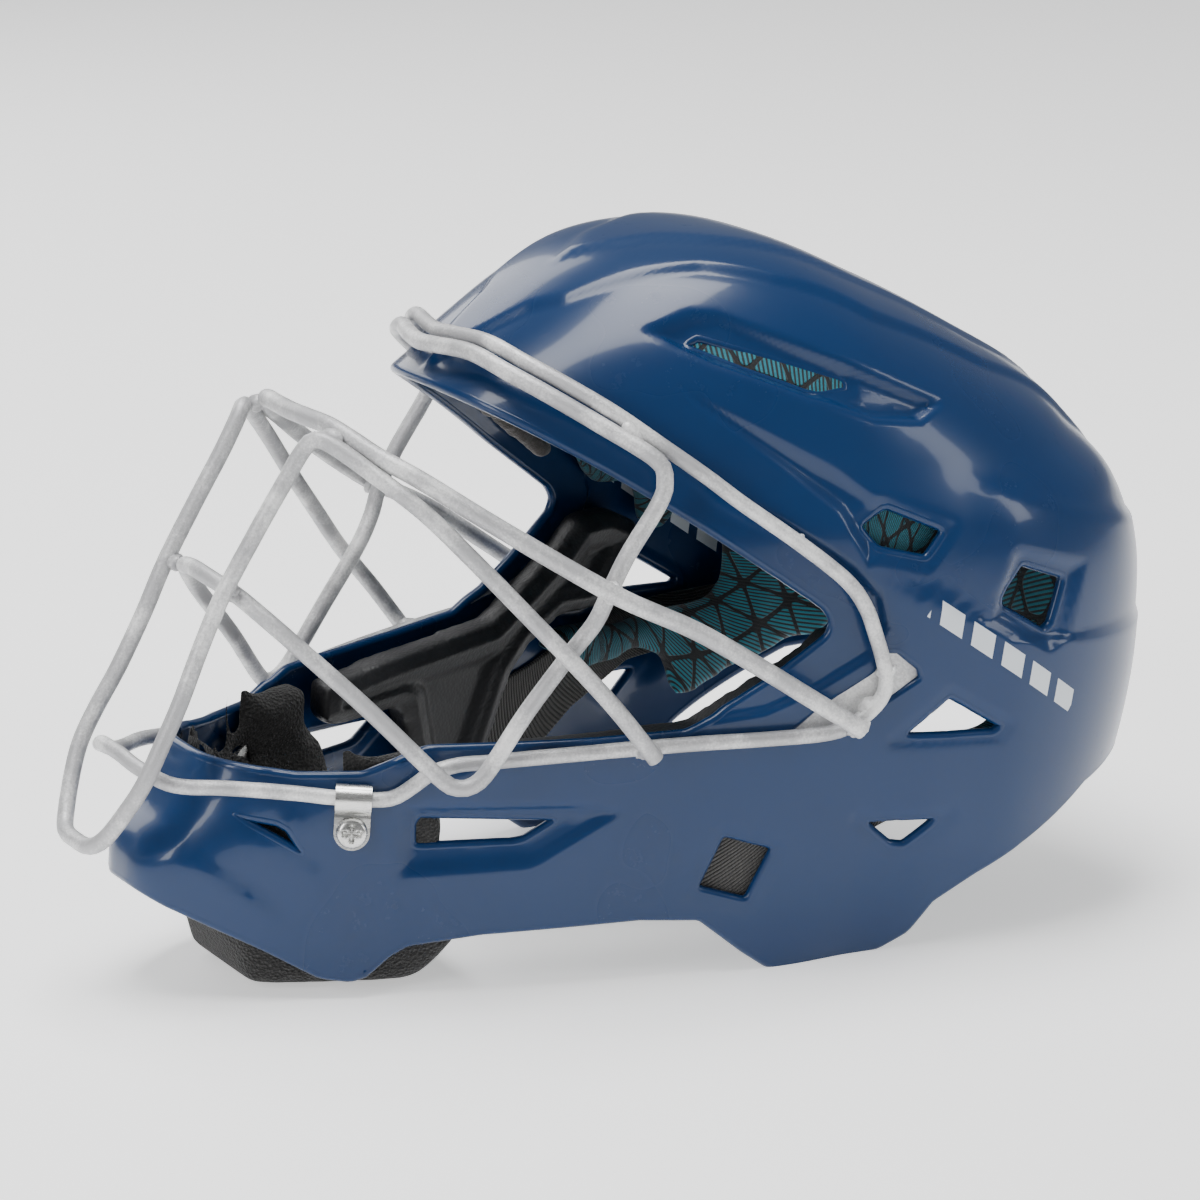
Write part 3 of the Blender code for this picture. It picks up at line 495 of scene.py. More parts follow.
def inside(u, v, outline):
    """Distance from a closed outline, positive inside it."""
    closed = list(outline) + [outline[0]]
    distance = np.abs(beside(u, v, closed))
    crossings = np.zeros(np.shape(u), int)
    for (ax, ay), (bx, by) in zip(closed, closed[1:]):
        if ay == by:
            continue
        hit = ((ay > v) != (by > v)) & (u < (bx - ax) * (v - ay) / (by - ay) + ax)
        crossings += hit
    return np.where(crossings % 2 == 1, distance, -distance)


# %% The shell's lines in the side view
FACE_OPENING = ((-110, 209), (-62, 176), (-30, 154), (-7, 137), (18, 118), (27, 111), (30, 106),
                (28, 101), (20, 95), (10, 88), (-6, 78.5), (-13, 75), (-38, 74), (-72, 74),
                (-84, 74), (-101, 67), (-118, 67), (-138, 70), (-152, 70), (-200, 72),
                (-260, 150), (-200, 260))
LOWER_EDGE = ((-190, 60), (-165, 41), (-151, 31), (-144, 27), (-128, 18), (-113, 8), (-105, 6.5),
              (-101, 8), (-95, 14), (-90, 16.5), (-70, 19), (-26, 20.5), (-8, 19), (6, 7),
              (14, 1), (17, 0), (40, 0), (50, 1), (58, 6), (64, 16), (77, 24), (105, 38),
              (118, 45), (134, 48), (200, 50), (230, -80), (-190, -130))
CROWN_SLOT = ((-4, 188), (2, 191), (42, 177), (42, 174), (33, 173), (28, 173))
VENT = ((36, 134), (46, 140), (65, 131), (57, 122), (42, 126))
REAR_VENT = ((89, 119), (107, 112), (101, 97), (97, 95), (81, 105), (80, 109))
EAR_WINDOW = ((47, 69), (64, 82), (83, 70), (80, 67))
LOW_WINDOW = ((37, 45), (66, 44), (53, 34), (48, 35))
STRAP_WINDOW = ((-3, 45), (14, 39), (6, 21), (-11, 27))
JAW_WINDOW = ((-89, 52), (-87, 55), (-46, 52), (-58, 44.5), (-61, 44), (-89, 44))
CHIN_VENT = ((-135, 57), (-124, 55), (-121, 53), (-116, 43), (-132, 54))
WINDOWS = (CROWN_SLOT, VENT, REAR_VENT, EAR_WINDOW, LOW_WINDOW, STRAP_WINDOW, JAW_WINDOW,
           CHIN_VENT)
SLOT_SCOOP = ((-14, 191), (2, 196.5), (10, 196), (75, 166), (62, 161), (46, 163), (2, 181))
VENT_CHANNEL = ((-10, 178), (31, 152), (43, 143), (60, 134), (38, 122), (30, 138), (-5, 170))
JAW_SCOOP = ((-92, 57.5), (-44, 56), (-33, 53), (-56, 39), (-92, 38))
REAR_SCOOP = ((86, 122), (111, 114), (104, 94), (97, 91), (78, 103))
FLANGE_LINE = ((-60, 190), (-13, 157), (4, 143.5), (18, 134), (34, 122), (42, 113), (44, 104),
               (40, 96), (24, 87), (9, 81), (-10, 79))
CROWN_PANEL = ((-60, 0), (-45, 9), (-33, 14), (-25, 22), (-8, 29), (13, 36), (32, 47), (60, 57),
               (100, 56), (149, 42), (149, 0))
CROWN_RIDGE = ((-14, 0), (0, 10), (11, 14), (22, 22), (62, 37), (110, 36), (150, 26))
REAR_CREASE = ((74, 145), (109, 131), (150, 118))
SIDE_CREASE = ((116, 92), (84, 96), (60, 112), (46, 116))
CHIN_RIDGE = ((-91, 60), (-91.5, 24))
CHIN_CREASE = ((-117, 47), (-107, 22))
CHIN_LIP = ((-165, 52), (-149, 47.5), (-134, 36), (-118, 21), (-104, 9))


STEP_HEIGHT = {"crown panel": 1.6, "crown ridge": 1.1, "slot scoop": 3.0, "vent channel": 2.2,
               "rear scoop": 1.2, "jaw scoop": 2.0, "flange": 1.6, "rear crease": 1.1,
               "side crease": 1.0, "chin crease": 0.8, "chin lip": 1.4, "window rim": 0.7,
               "strap channel": 3.0}          # millimetres
WINDOW_RIM = 3.5


def strap_channel(x, z, y):
    """Share of the depth of the channel that the top strap lies in."""
    angle = np.degrees(np.arctan2(z - HUB_Z, x - HUB_X))
    along = soft_step((46.0 - angle) / 8.0) * soft_step((angle + 60.0) / 6.0)
    return along * soft_step((17.0 - np.abs(y)) / 2.5)


def relief(points):
    """Rise of the skin in millimetres, negative where it sinks."""
    x, z, y = drawn(points)
    wide = np.abs(y)
    high = STEP_HEIGHT
    upper = soft_step((z - 130.0) / 20.0)
    panel = soft_step(0.5 - inside(x, wide, CROWN_PANEL + ((-60, -90),)) / 4.0)
    rise = -high["crown panel"] * upper * panel
    rise -= high["crown ridge"] * upper * soft_step(0.5 + beside(x, wide, CROWN_RIDGE) / 4.0)
    on_flank = soft_step((wide - 20.0) / 10.0)
    rise -= high["slot scoop"] * on_flank * soft_step(inside(x, z, SLOT_SCOOP) / 4.0)
    rise -= high["vent channel"] * on_flank * soft_step(inside(x, z, VENT_CHANNEL) / 5.0)
    rise -= high["rear scoop"] * on_flank * soft_step(0.5 + inside(x, z, REAR_SCOOP) / 3.0)
    rise -= high["jaw scoop"] * soft_step(0.35 + inside(x, z, JAW_SCOOP) / 3.0)
    flange = soft_step(0.5 - beside(x, z, FLANGE_LINE) / 3.0)
    rise -= high["flange"] * flange * soft_step((z - 76.0) / 3.0)
    crease = soft_step(0.5 - beside(x, z, REAR_CREASE) / 2.5)
    rise += high["rear crease"] * on_flank * crease * soft_step((x - 70) / 20)
    crease = soft_step(0.5 + beside(x, z, SIDE_CREASE) / 2.5)
    rise += high["side crease"] * on_flank * crease * soft_step((x - 40) / 20)
    ahead = soft_step((-60.0 - x) / 10.0)
    for line in (CHIN_RIDGE, CHIN_CREASE):
        rise += high["chin crease"] * ahead * soft_step(0.5 - beside(x, z, line) / 2.5)
    lip = soft_step(0.5 - beside(x, z, CHIN_LIP) / 2.5)
    rise += high["chin lip"] * ahead * lip * soft_step((-112.0 - x) / 20.0)
    for outline in WINDOWS:
        rim = soft_step((WINDOW_RIM + inside(x, z, outline)) / WINDOW_RIM)
        rise -= high["window rim"] * on_flank * rim
    rise -= high["strap channel"] * strap_channel(x, z, y)
    return rise


# %% [markdown]
# ## The shell
# A ball of faces is laid on the skin formula. It is made finer only where the relief has
# steps, because an even mesh that fine would be needlessly heavy. The face opening, the
# neck and the vents are then cut as a moulder trims a shell. The open sheet gets its wall
# last, and every trimmed edge gets a round rolled rim.

# %% Helpers for sheets


def add_object(name, bm, paint=None):
    mesh = bpy.data.meshes.new(name)
    bm.to_mesh(mesh)
    bm.free()
    thing = bpy.data.objects.new(name, mesh)
    bpy.context.collection.objects.link(thing)
    if paint:
        dress(thing, paint)
    return thing


def smooth(thing, angle=40.0):
    thing.data.shade_smooth()
    thing.data.set_sharp_from_angle(angle=math.radians(angle))
    return thing


def positions(bm):
    return np.array([vert.co[:] for vert in bm.verts])


def move_to(bm, points):
    for vert, point in zip(bm.verts, points):
        vert.co = point
    bm.normal_update()


def rounded(outline, radius, steps=5):
    """A drawn outline whose corners are arcs."""
    result = []
    count = len(outline)
    for i in range(count):
        corner = Vector(outline[i])
        before = Vector(outline[i - 1]) - corner
        after = Vector(outline[(i + 1) % count]) - corner
        half = before.angle(after) / 2
        cut = min(radius / max(math.tan(half), 0.05), before.length * 0.45, after.length * 0.45)
        start = corner + before.normalized() * cut
        end = corner + after.normalized() * cut
        for k in range(steps + 1):
            u = k / steps
            result.append(tuple(start * (1 - u) ** 2 + corner * 2 * u * (1 - u) + end * u * u))
    return result


def punch(outline, y_low, y_high):
    """A side-view outline as a solid bar across the mask."""
    bm = bmesh.new()
    face = bm.faces.new([bm.verts.new(placed(x, z, y_low)) for x, z in outline])
    grown = bmesh.ops.extrude_face_region(bm, geom=[face])
    moved = [item for item in grown["geom"] if isinstance(item, bmesh.types.BMVert)]
    bmesh.ops.translate(bm, verts=moved, vec=(0.0, (y_high - y_low) * MM, 0.0))
    bmesh.ops.recalc_face_normals(bm, faces=bm.faces[:])
    return bm


def evaluated_mesh(thing):
    bpy.context.view_layer.update()
    return bpy.data.meshes.new_from_object(
        thing.evaluated_get(bpy.context.evaluated_depsgraph_get()))


def apply_modifiers(thing):
    mesh = evaluated_mesh(thing)
    thing.modifiers.clear()
    thing.data = mesh


def boolean(thing, tools, operation):
    """Cut or keep with several tools at once."""
    marked = bmesh.new()
    for tool in tools:
        mesh = bpy.data.meshes.new("tool")
        tool.to_mesh(mesh)
        tool.free()
        marked.from_mesh(mesh)
        bpy.data.meshes.remove(mesh)
    cutter = add_object("cutter", marked)
    modifier = thing.modifiers.new("cut", "BOOLEAN")
    modifier.operation = operation
    modifier.object = cutter
    apply_modifiers(thing)
    bpy.data.objects.remove(cutter, do_unlink=True)


# %% The skin as a fine ball
def skin_ball(around, across):
    bm = bmesh.new()
    bmesh.ops.create_uvsphere(bm, u_segments=around, v_segments=across, radius=1.0)
    unit = positions(bm)
    start = placed(HUB_X + unit[:, 0] * 100.0, HUB_Z + unit[:, 1] * 100.0, unit[:, 2] * 80.0)
    move_to(bm, settle(start))
    if bm.calc_volume(signed=True) < 0:
        bmesh.ops.reverse_faces(bm, faces=bm.faces[:])
    return bm


CHANNEL_HALF = 15.0                    # middle of the strap channel's sloping side


def near_relief(points, reach):
    """True where the relief has a step nearby."""
    x, z, y = drawn(points)
    wide = np.abs(y)
    lines = [np.abs(inside(x, z, o)) for o in (SLOT_SCOOP, VENT_CHANNEL, JAW_SCOOP, REAR_SCOOP)]
    lines += [np.abs(inside(x, z, o)) for o in WINDOWS]
    lines += [np.abs(beside(x, z, o)) for o in (FLANGE_LINE, CHIN_RIDGE, CHIN_CREASE, CHIN_LIP)]
    lines += [np.where(z > 130, np.abs(beside(x, wide, CROWN_PANEL)), 99.0),
              np.where(z > 60, np.abs(wide - CHANNEL_HALF) + 99.0 * (x < 100), 99.0)]
    return np.min(lines, axis=0) < reach


def refine(bm, reach):
    middles = np.array([((e.verts[0].co + e.verts[1].co) / 2)[:] for e in bm.edges])
    near = near_relief(middles, reach)
    edges = [edge for edge, wanted in zip(bm.edges, near) if wanted]
    bmesh.ops.subdivide_edges(bm, edges=edges, cuts=1, use_grid_fill=True)
    move_to(bm, settle(positions(bm)))


FAR = 200.0
NAPE_TOP, NAPE_BOTTOM = 119.0, 44.0
PLATE_HALF = 40.0
PLATE_GAP = 1.5
SIDE_PLATE = ((40, 91), (43, 97), (48, 97), (55, 91), (56, 87), (37, 75.5), (31, 71), (27, 70),
              (12, 70.5), (12, 72), (24, 82))


def side_pair(outline, radius, inner=10.0):
    """Both sides' punches of one outline."""
    shape = rounded(outline, radius)
    return [punch(shape, -FAR, -inner), punch(shape, inner, FAR)]


OFF_SKIN = 0.006                       # of the fullness: a cut face leaves the skin by more


def keep_skin(thing):
    """Drop the faces that the tools made, and the object: an open sheet is left."""
    bm = bmesh.new()
    bm.from_mesh(thing.data)
    corners = np.abs(fullness(positions(bm)) - 1.0) > OFF_SKIN
    off_skin = {vert for vert, off in zip(bm.verts, corners) if off}
    middles = np.array([face.calc_center_median()[:] for face in bm.faces])
    facing = np.sum(outward(middles) * np.array([face.normal[:] for face in bm.faces]), axis=1)
    depth = np.abs(fullness(middles) - 1.0)
    made = [face for face, turn, off in zip(bm.faces, facing, depth)
            if turn < 0.5 or off > OFF_SKIN or any(vert in off_skin for vert in face.verts)]
    bmesh.ops.delete(bm, geom=made, context="FACES")
    bmesh.ops.remove_doubles(bm, verts=bm.verts[:], dist=0.0002)
    bmesh.ops.dissolve_degenerate(bm, dist=0.0001, edges=bm.edges[:])
    bpy.data.objects.remove(thing, do_unlink=True)
    return bm


def rim_loops(bm):
    """The open edges of a sheet as ordered rings of points."""
    links = {}
    for edge in bm.edges:
        if edge.is_boundary:
            for vert in edge.verts:
                links.setdefault(vert, []).append(edge.other_vert(vert))
    loops = []
    while links:
        start = next(iter(links))
        ring, here, before = [], start, None
        while here in links:
            ring.append(here.co.copy())
            choices = [v for v in links.pop(here) if v is not before and v in links]
            before, here = here, choices[0] if choices else None
            if here is None:
                break
        if len(ring) > 5:
            loops.append(ring)
    return loops


def even(points, spacing, closed=True):
    """Points at an even spacing along a line."""
    line = np.array([p[:] for p in points])
    if closed:
        line = np.vstack([line, line[:1]])
    lengths = np.concatenate([[0.0], np.cumsum(np.linalg.norm(np.diff(line, axis=0), axis=1))])
    steps = max(6, round(lengths[-1] / spacing))
    wanted = np.linspace(0.0, lengths[-1], steps + 1)[: steps if closed else steps + 1]
    return np.stack([np.interp(wanted, lengths, line[:, i]) for i in range(3)], axis=-1)


def tube(points, radius, closed, sides=12):
    """A mesh tube along points, by way of a bevelled curve."""
    curve = bpy.data.curves.new("tube", "CURVE")
    curve.dimensions = "3D"
    curve.bevel_depth = radius
    curve.bevel_resolution = sides // 2 - 2
    curve.use_fill_caps = not closed
    line = curve.splines.new("POLY")
    line.points.add(len(points) - 1)
    for vertex, point in zip(line.points, points):
        vertex.co = (*point, 1.0)
    line.use_cyclic_u = closed
    guide = bpy.data.objects.new("tube", curve)
    bpy.context.collection.objects.link(guide)
    mesh = evaluated_mesh(guide)
    bpy.data.objects.remove(guide, do_unlink=True)
    return mesh


RIM_SPACING = 0.0016                   # between the points of a rolled rim
RIM_SWELL = 1.04                       # the rim stands this much proud of the wall


def walled(name, bm, wall, paint, rim=True, depth=None):
    """Give a sheet its wall and its rolled rim, with the relief or at a plain depth."""
    points = positions(bm)
    rise = relief(points) if depth is None else np.full(len(points), -float(depth))
    direction = outward(points)
    move_to(bm, points + direction * rise[:, None] * MM)
    rims = []
    if rim:
        for loop in rim_loops(bm):
            ring = even(loop, RIM_SPACING)
            ring = ring - outward(ring) * wall / 2 * MM
            rims.append(tube(ring, wall / 2 * MM * RIM_SWELL, True))
    outer = bm.verts[:]
    outer_faces = bm.faces[:]
    copies = bmesh.ops.duplicate(bm, geom=outer + bm.edges[:] + outer_faces)
    inner = [item for item in copies["geom"] if isinstance(item, bmesh.types.BMVert)]
    inner_faces = [item for item in copies["geom"] if isinstance(item, bmesh.types.BMFace)]
    spots = np.array([vert.co[:] for vert in inner])
    spots = spots - outward(spots) * wall * MM
    for vert, spot in zip(inner, spots):
        vert.co = spot
    bmesh.ops.reverse_faces(bm, faces=inner_faces)
    for mesh in rims:
        bm.from_mesh(mesh)
        bpy.data.meshes.remove(mesh)
    for face in bm.faces:
        face.material_index = 0
        face.smooth = True
    bm.normal_update()
    thing = add_object(name, bm, paint)
    print(name, len(thing.data.polygons), "faces,", len(rims), "rims")
    return smooth(thing, 50.0)


# %% The shell itself
ball = skin_ball(240, 120)
refine(ball, 5.5)
print("skin ball", len(ball.faces), "faces")
ball_mesh = bpy.data.meshes.new("skin_ball")
ball.to_mesh(ball_mesh)
ball.free()


def fresh_ball():
    thing = bpy.data.objects.new("skin_ball", ball_mesh.copy())
    bpy.context.collection.objects.link(thing)
    return thing


shell = fresh_ball()
boolean(shell, [punch(rounded(FACE_OPENING, 6.0), -FAR, FAR),
                punch(rounded(LOWER_EDGE, 5.0), -FAR, FAR)], "DIFFERENCE")
tools = []
for outline in WINDOWS:
    tools += side_pair(outline, 2.6)
boolean(shell, tools, "DIFFERENCE")
half_gap = PLATE_HALF + PLATE_GAP
nape = ((100, NAPE_BOTTOM - 40), (100, NAPE_TOP), (230, NAPE_TOP), (230, NAPE_BOTTOM - 40))
boolean(shell, [punch(nape, -half_gap, half_gap)], "DIFFERENCE")
boolean(shell, side_pair(SIDE_PLATE, 2.0, 20.0), "DIFFERENCE")
sheet = keep_skin(shell)
outer_shell = walled("moulded_shell", sheet, WALL, SHELL_PAINT)
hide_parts("outer_shell")
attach(outer_shell, "mask_shell")

# %% [markdown]
# ## The floor of the side plate's pocket
# The steel side plate lies in a shallow pocket of the shell. The pocket's floor is a second
# small sheet at the plate's depth.

# %% Pocket floors and the back plate
PLATE_DEPTH = 2.5
for side, label in ((-1, "left"), (1, "right")):
    pocket = fresh_ball()
    near, far = sorted((side * 20.0, side * FAR))
    boolean(pocket, [punch(rounded(SIDE_PLATE, 2.0), near, far)], "INTERSECT")
    sheet = keep_skin(pocket)
    floor_piece = walled("plate_pocket_" + label, sheet, 1.0, SHELL_PAINT, False, PLATE_DEPTH)
    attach(floor_piece, "mask_shell")

plate = fresh_ball()
low_edge = ((100, NAPE_BOTTOM), (100, NAPE_TOP - PLATE_GAP), (230, NAPE_TOP - PLATE_GAP),
            (230, NAPE_BOTTOM))
boolean(plate, [punch(low_edge, -PLATE_HALF, PLATE_HALF)], "INTERSECT")
sheet = keep_skin(plate)
back_plate = walled("nape_plate", sheet, WALL, SHELL_PAINT)
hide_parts("back_plate")
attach(back_plate, "back_plate")

# %% [markdown]
# ## The cage
# Four steel wires are bent on a former and welded where they cross. A wire is a curve with
# a round section, so each route is a short list of points joined by one smooth line. The
# points repeat the engineering model's. Each weld is a small lump of its own.

# %% Routes of the wires


def free(x, y, z):
    return Vector(placed(x, z, y))


def flowing(points, closed, steps=10):
    """A Catmull-Rom line through points."""
    count = len(points)
    result = []
    for i in range(count if closed else count - 1):
        if closed:
            p0, p1, p2, p3 = [points[(i + k) % count] for k in (-1, 0, 1, 2)]
        else:
            p0, p1, p2, p3 = [points[min(max(i + k, 0), count - 1)] for k in (-1, 0, 1, 2)]
        for step in range(steps):
            u = step / steps
            result.append(0.5 * (2 * p1 + (p2 - p0) * u + (2 * p0 - 5 * p1 + 4 * p2 - p3) * u * u
                                 + (3 * p1 - p0 - 3 * p2 + p3) * u ** 3))
    if not closed:
        result.append(points[-1].copy())
    return result


def both_sides(points, closed):
    """A left half from or to the middle plane, with its mirror image."""
    if closed:
        return points + [Vector((p.x, -p.y, p.z)) for p in points[1:-1]][::-1]
    return points + [Vector((p.x, -p.y, p.z)) for p in points[:-1]][::-1]


def bent_wire(name, node, points, diameter, closed):
    line = even(flowing(points, closed), 0.0022, closed)
    mesh = tube(line, diameter / 2 * MM, closed, 16)
    thing = bpy.data.objects.new(name, mesh)
    bpy.context.collection.objects.link(thing)
    dress(thing, CAGE_PAINT)
    smooth(thing)
    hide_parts(node)
    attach(thing, "mask_shell")
    print(name, len(line), "stations")
    return line


OUTER_WIRE, LOOP_WIRE, NOSE_WIRE, EYE_WIRE = 4.5, 5.0, 5.0, 5.4
STAND_OFF = 0.5
lift = OUTER_WIRE / 2 + STAND_OFF
brow = [on_crown(a, -f, lift) for a, f in ((138.0, 0.0), (137.6, 0.12), (136.4, 0.33),
        (136.0, 0.52), (135.2, 0.65), (134.0, 0.77), (133.0, 0.855), (131.5, 0.914))]
run = [on_side(x, z, lift) for x, z in ((3, 143), (18, 131), (31, 119.5), (36.8, 111),
       (40, 102), (42.3, 94), (43.2, 88), (41.3, 82.5), (35, 77), (27, 74), (11, 73.5),
       (-11, 73.5), (-31, 73), (-53, 72), (-68, 71), (-76, 70.5), (-83, 68.5), (-88, 65),
       (-93, 61.8), (-98, 61), (-109, 61.7), (-119, 63))]
nose = [free(*p) for p in ((-138.3, -28, 66), (-147.6, -22.8, 66.3), (-152.5, -19.5, 67.2),
        (-156, -17.5, 69.3), (-159.3, -12.5, 71.6), (-161.3, -6, 73.9), (-162, 0, 74.5))]
frame_route = both_sides(brow + run + nose, True)
frame_line = bent_wire("outer_frame_bent_wire", "outer_frame_wire", frame_route, OUTER_WIRE, True)

lift = LOOP_WIRE / 2 + STAND_OFF
loop_route = [on_crown(a, -f, lift) for a, f in ((140.7, 0.0), (140.3, 0.12), (139.0, 0.33),
              (138.7, 0.52), (138.1, 0.65), (137.2, 0.77))]
loop_route += [free(*p) for p in ((-21, -69.5, 157), (-19.5, -72, 151), (-22, -73, 145),
               (-32, -72.5, 131), (-38, -72, 120), (-41.5, -70.5, 112), (-48, -67.8, 103),
               (-61, -65.5, 87), (-71, -64.6, 73.5), (-76, -64, 68), (-81, -62.5, 66.5),
               (-86, -59.5, 69.5), (-101, -45.5, 88), (-117, -32, 106), (-124.5, -23.5, 114.5),
               (-129, -16.5, 119.5), (-132.5, -9, 122.5), (-134, 0, 124))]
loop_line = bent_wire("brow_loop_bent_wire", "brow_loop_wire", both_sides(loop_route, True),
                      LOOP_WIRE, True)

eye_route = [free(*p) for p in ((32, -97.5, 76), (20, -95.5, 84.5), (-14, -86.5, 108),
             (-39, -78.3, 121.5), (-66, -62, 140), (-84, -46, 153.5), (-92, -36, 159),
             (-97, -27, 163.5), (-100, -20, 166), (-101.5, -10, 166.5), (-102, 0, 166.5))]
eye_line = bent_wire("eye_bar_bent_wire", "eye_bar_wire", both_sides(eye_route, False), EYE_WIRE,
                     False)

nose_route = [free(*p) for p in ((-26, -78.6, 71), (-38, -77, 87), (-50, -74.5, 101.5),
              (-62, -67, 116.5), (-74, -59, 131.5), (-85, -49.5, 145), (-94.5, -38, 154.5),
              (-102, -29, 161.5), (-106, -24.5, 163.5), (-109, -22, 160.5), (-115, -21, 151),
              (-123.5, -20.5, 138), (-134, -20, 121), (-141, -20, 107), (-149, -21.5, 91),
              (-156, -22.8, 79), (-161.2, -22.8, 69.5), (-165.5, -19.5, 61), (-170, -14, 52),
              (-172.5, -8.5, 48.5), (-173, 0, 48))]
nose_line = bent_wire("nose_loop_bent_wire", "nose_loop_wire", both_sides(nose_route, False),
                      NOSE_WIRE, False)

# %% [markdown]
# ## Welds
# Where two wires cross they are fused, and the molten metal leaves a small rounded lump
# under the powder coat. The routes tell where they come close, so the lumps find their own
# places.

# %% Weld lumps
ROUTES = {"outer": (frame_line, OUTER_WIRE), "loop": (loop_line, LOOP_WIRE),
          "eye": (eye_line, EYE_WIRE), "nose": (nose_line, NOSE_WIRE)}


def lump(bm, centre, along, size, seed):
    """A rounded, slightly uneven drop of weld metal."""
    made = bmesh.ops.create_icosphere(bm, subdivisions=3, radius=1.0)["verts"]
    turn = along.to_track_quat("Z", "Y").to_matrix().to_4x4()
    rng = np.random.default_rng(seed)
    waves = rng.normal(size=(3, 3)) * 1.7
    for vert in made:
        uneven = 1.0 + 0.09 * sum(math.sin(vert.co.dot(Vector(wave)) * 2.0) for wave in waves)
        vert.co *= uneven
    bmesh.ops.scale(bm, vec=(size, size, size * 1.35), verts=made)
    bmesh.ops.transform(bm, matrix=Matrix.Translation(centre) @ turn, verts=made)


WELD_REACH = 0.0018                    # metres between surfaces that a weld still bridges
WELD_SPACING = 0.016
WELD_SIZE = 0.0026
PARALLEL = 0.965                       # cosine above which two wires only run together
BROW_HALF_SPAN = 0.055                 # where they do: over the brow, near the middle


def meetings(first, second):
    """Where two wires touch: one midpoint and direction for each crossing."""
    (a, wide_a), (b, wide_b) = ROUTES[first], ROUTES[second]
    gaps = np.linalg.norm(a[:, None, :] - b[None, :, :], axis=-1)
    close = gaps < (wide_a + wide_b) / 2 * MM + WELD_REACH
    found = []
    for i, j in sorted(zip(*np.nonzero(close)), key=lambda pair: gaps[pair]):
        middle = Vector((a[i] + b[j]) / 2)
        ahead = Vector(a[(i + 1) % len(a)] - a[i - 1]).normalized()
        crossing = Vector(b[(j + 1) % len(b)] - b[j - 1]).normalized()
        side_by_side = abs(ahead.dot(crossing)) > PARALLEL and abs(middle.y) < BROW_HALF_SPAN
        apart = all((middle - other).length > WELD_SPACING for other, _ in found)
        if apart and not side_by_side:
            found.append((middle, ahead))
    return found


# Where the outer wire is welded on each side: x and z in the side view, and the lump's radius.
SIDE_LUMPS = ((43.5, 90.5, 2.4), (38.0, 81.0, 2.4), (-26.0, 72.2, 2.2), (18.0, 131.5, 1.8))
bm = bmesh.new()
count = 0
names = list(ROUTES)
for i, first in enumerate(names):
    for second in names[i + 1:]:
        for middle, ahead in meetings(first, second):
            lump(bm, middle, ahead, WELD_SIZE, count)
            count += 1
for x, z, size in SIDE_LUMPS:
    for side in (-1, 1):
        ahead = on_side(x + 3, z + 3, 0.0, side) - on_side(x, z, 0.0, side)
        lump(bm, on_side(x, z, 2.2, side), ahead.normalized(), size * MM, count)
        count += 1
welds = smooth(add_object("weld_lumps", bm, CAGE_PAINT))
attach(welds, "mask_shell")
print(count, "welds")

# %% [markdown]
# ## Liner, foam and webbing paints
# The liner is a stretch mesh: teal, with fine black stripes woven across it and a black web
# of triangles printed on top. The foam of the jaw pads is moulded and satin. The chin pad is
# covered in looped fabric, which has deep fuzz and no gloss. Webbing is a diagonal weave.

# %% Soft paints
def web_lines(paint, u, v, pitch):
    """A printed web of triangles with thick crossings, from three families of lines."""
    total = None
    for turn in (4.0, 63.0, 121.0):
        across = u * math.cos(math.radians(turn)) + v * math.sin(math.radians(turn))
        off = abs((across / pitch + 0.37 * turn).repeat() - 0.5) * pitch
        glow = 1.0 / (off * off + 0.6)
        total = glow if total is None else total + glow
    return total.between(0.62, 1.0)


def teal_liner():
    paint = Paint("teal_mesh_liner", (0.01, 0.2, 0.27), 0.85, Sheen_Weight=0.15)
    chart = paint.chart()
    wander = paint.noise(chart, 0.05, 2.0)
    u = chart.part(0) * 1000.0 + (wander - 0.5) * 9.0
    v = chart.part(1) * 1000.0 + (wander - 0.5) * 7.0
    web = web_lines(paint, u, v, 17.0)
    stripe_run = (chart.part(0) * 1000.0 * 0.94 + chart.part(1) * 1000.0 * 0.34) / 1.7
    stripes = abs(stripe_run.repeat() - 0.5).between(0.16, 0.3)
    knit = paint.cells(chart, 1500.0)
    cloud = paint.noise(chart, 30.0, 2.0)
    teal = paint.mix(cloud, (0.003, 0.105, 0.150), (0.007, 0.200, 0.260))
    ground = paint.mix(stripes, (0.004, 0.007, 0.010), teal)
    paint.put("Base Color", paint.mix(web, ground, (0.004, 0.005, 0.007)))
    paint.put("Roughness", 0.75 + web * 0.1)
    paint.relief((1.0 - web) * 0.7 + stripes * 0.15 + knit * 0.15, 0.0008, 0.8)
    return paint


def brushed_cover():
    paint = Paint("brushed_brow_cover", (0.05, 0.043, 0.04), 0.9, Sheen_Weight=0.3,
                  Sheen_Roughness=0.5)
    where = paint.here()
    nap = paint.noise(where, 900.0, 3.0, 0.7)
    patch = paint.noise(where, 60.0, 3.0)
    paint.put("Base Color", paint.mix(nap * 0.6 + patch * 0.4, (0.018, 0.015, 0.014),
                                      (0.10, 0.088, 0.08)))
    paint.relief(nap, 0.0006, 0.8)
    return paint


def moulded_foam():
    paint = Paint("moulded_black_foam", (0.009, 0.009, 0.010), 0.5)
    where = paint.here()
    pores = paint.cells(where, 900.0)
    cloud = paint.noise(where, 40.0, 3.0)
    paint.put("Base Color", paint.mix(cloud, (0.006, 0.006, 0.007), (0.016, 0.016, 0.018)))
    paint.put("Roughness", cloud * 0.2 + 0.38)
    paint.relief(pores + cloud * 2.0, 0.0002, 0.6)
    return paint


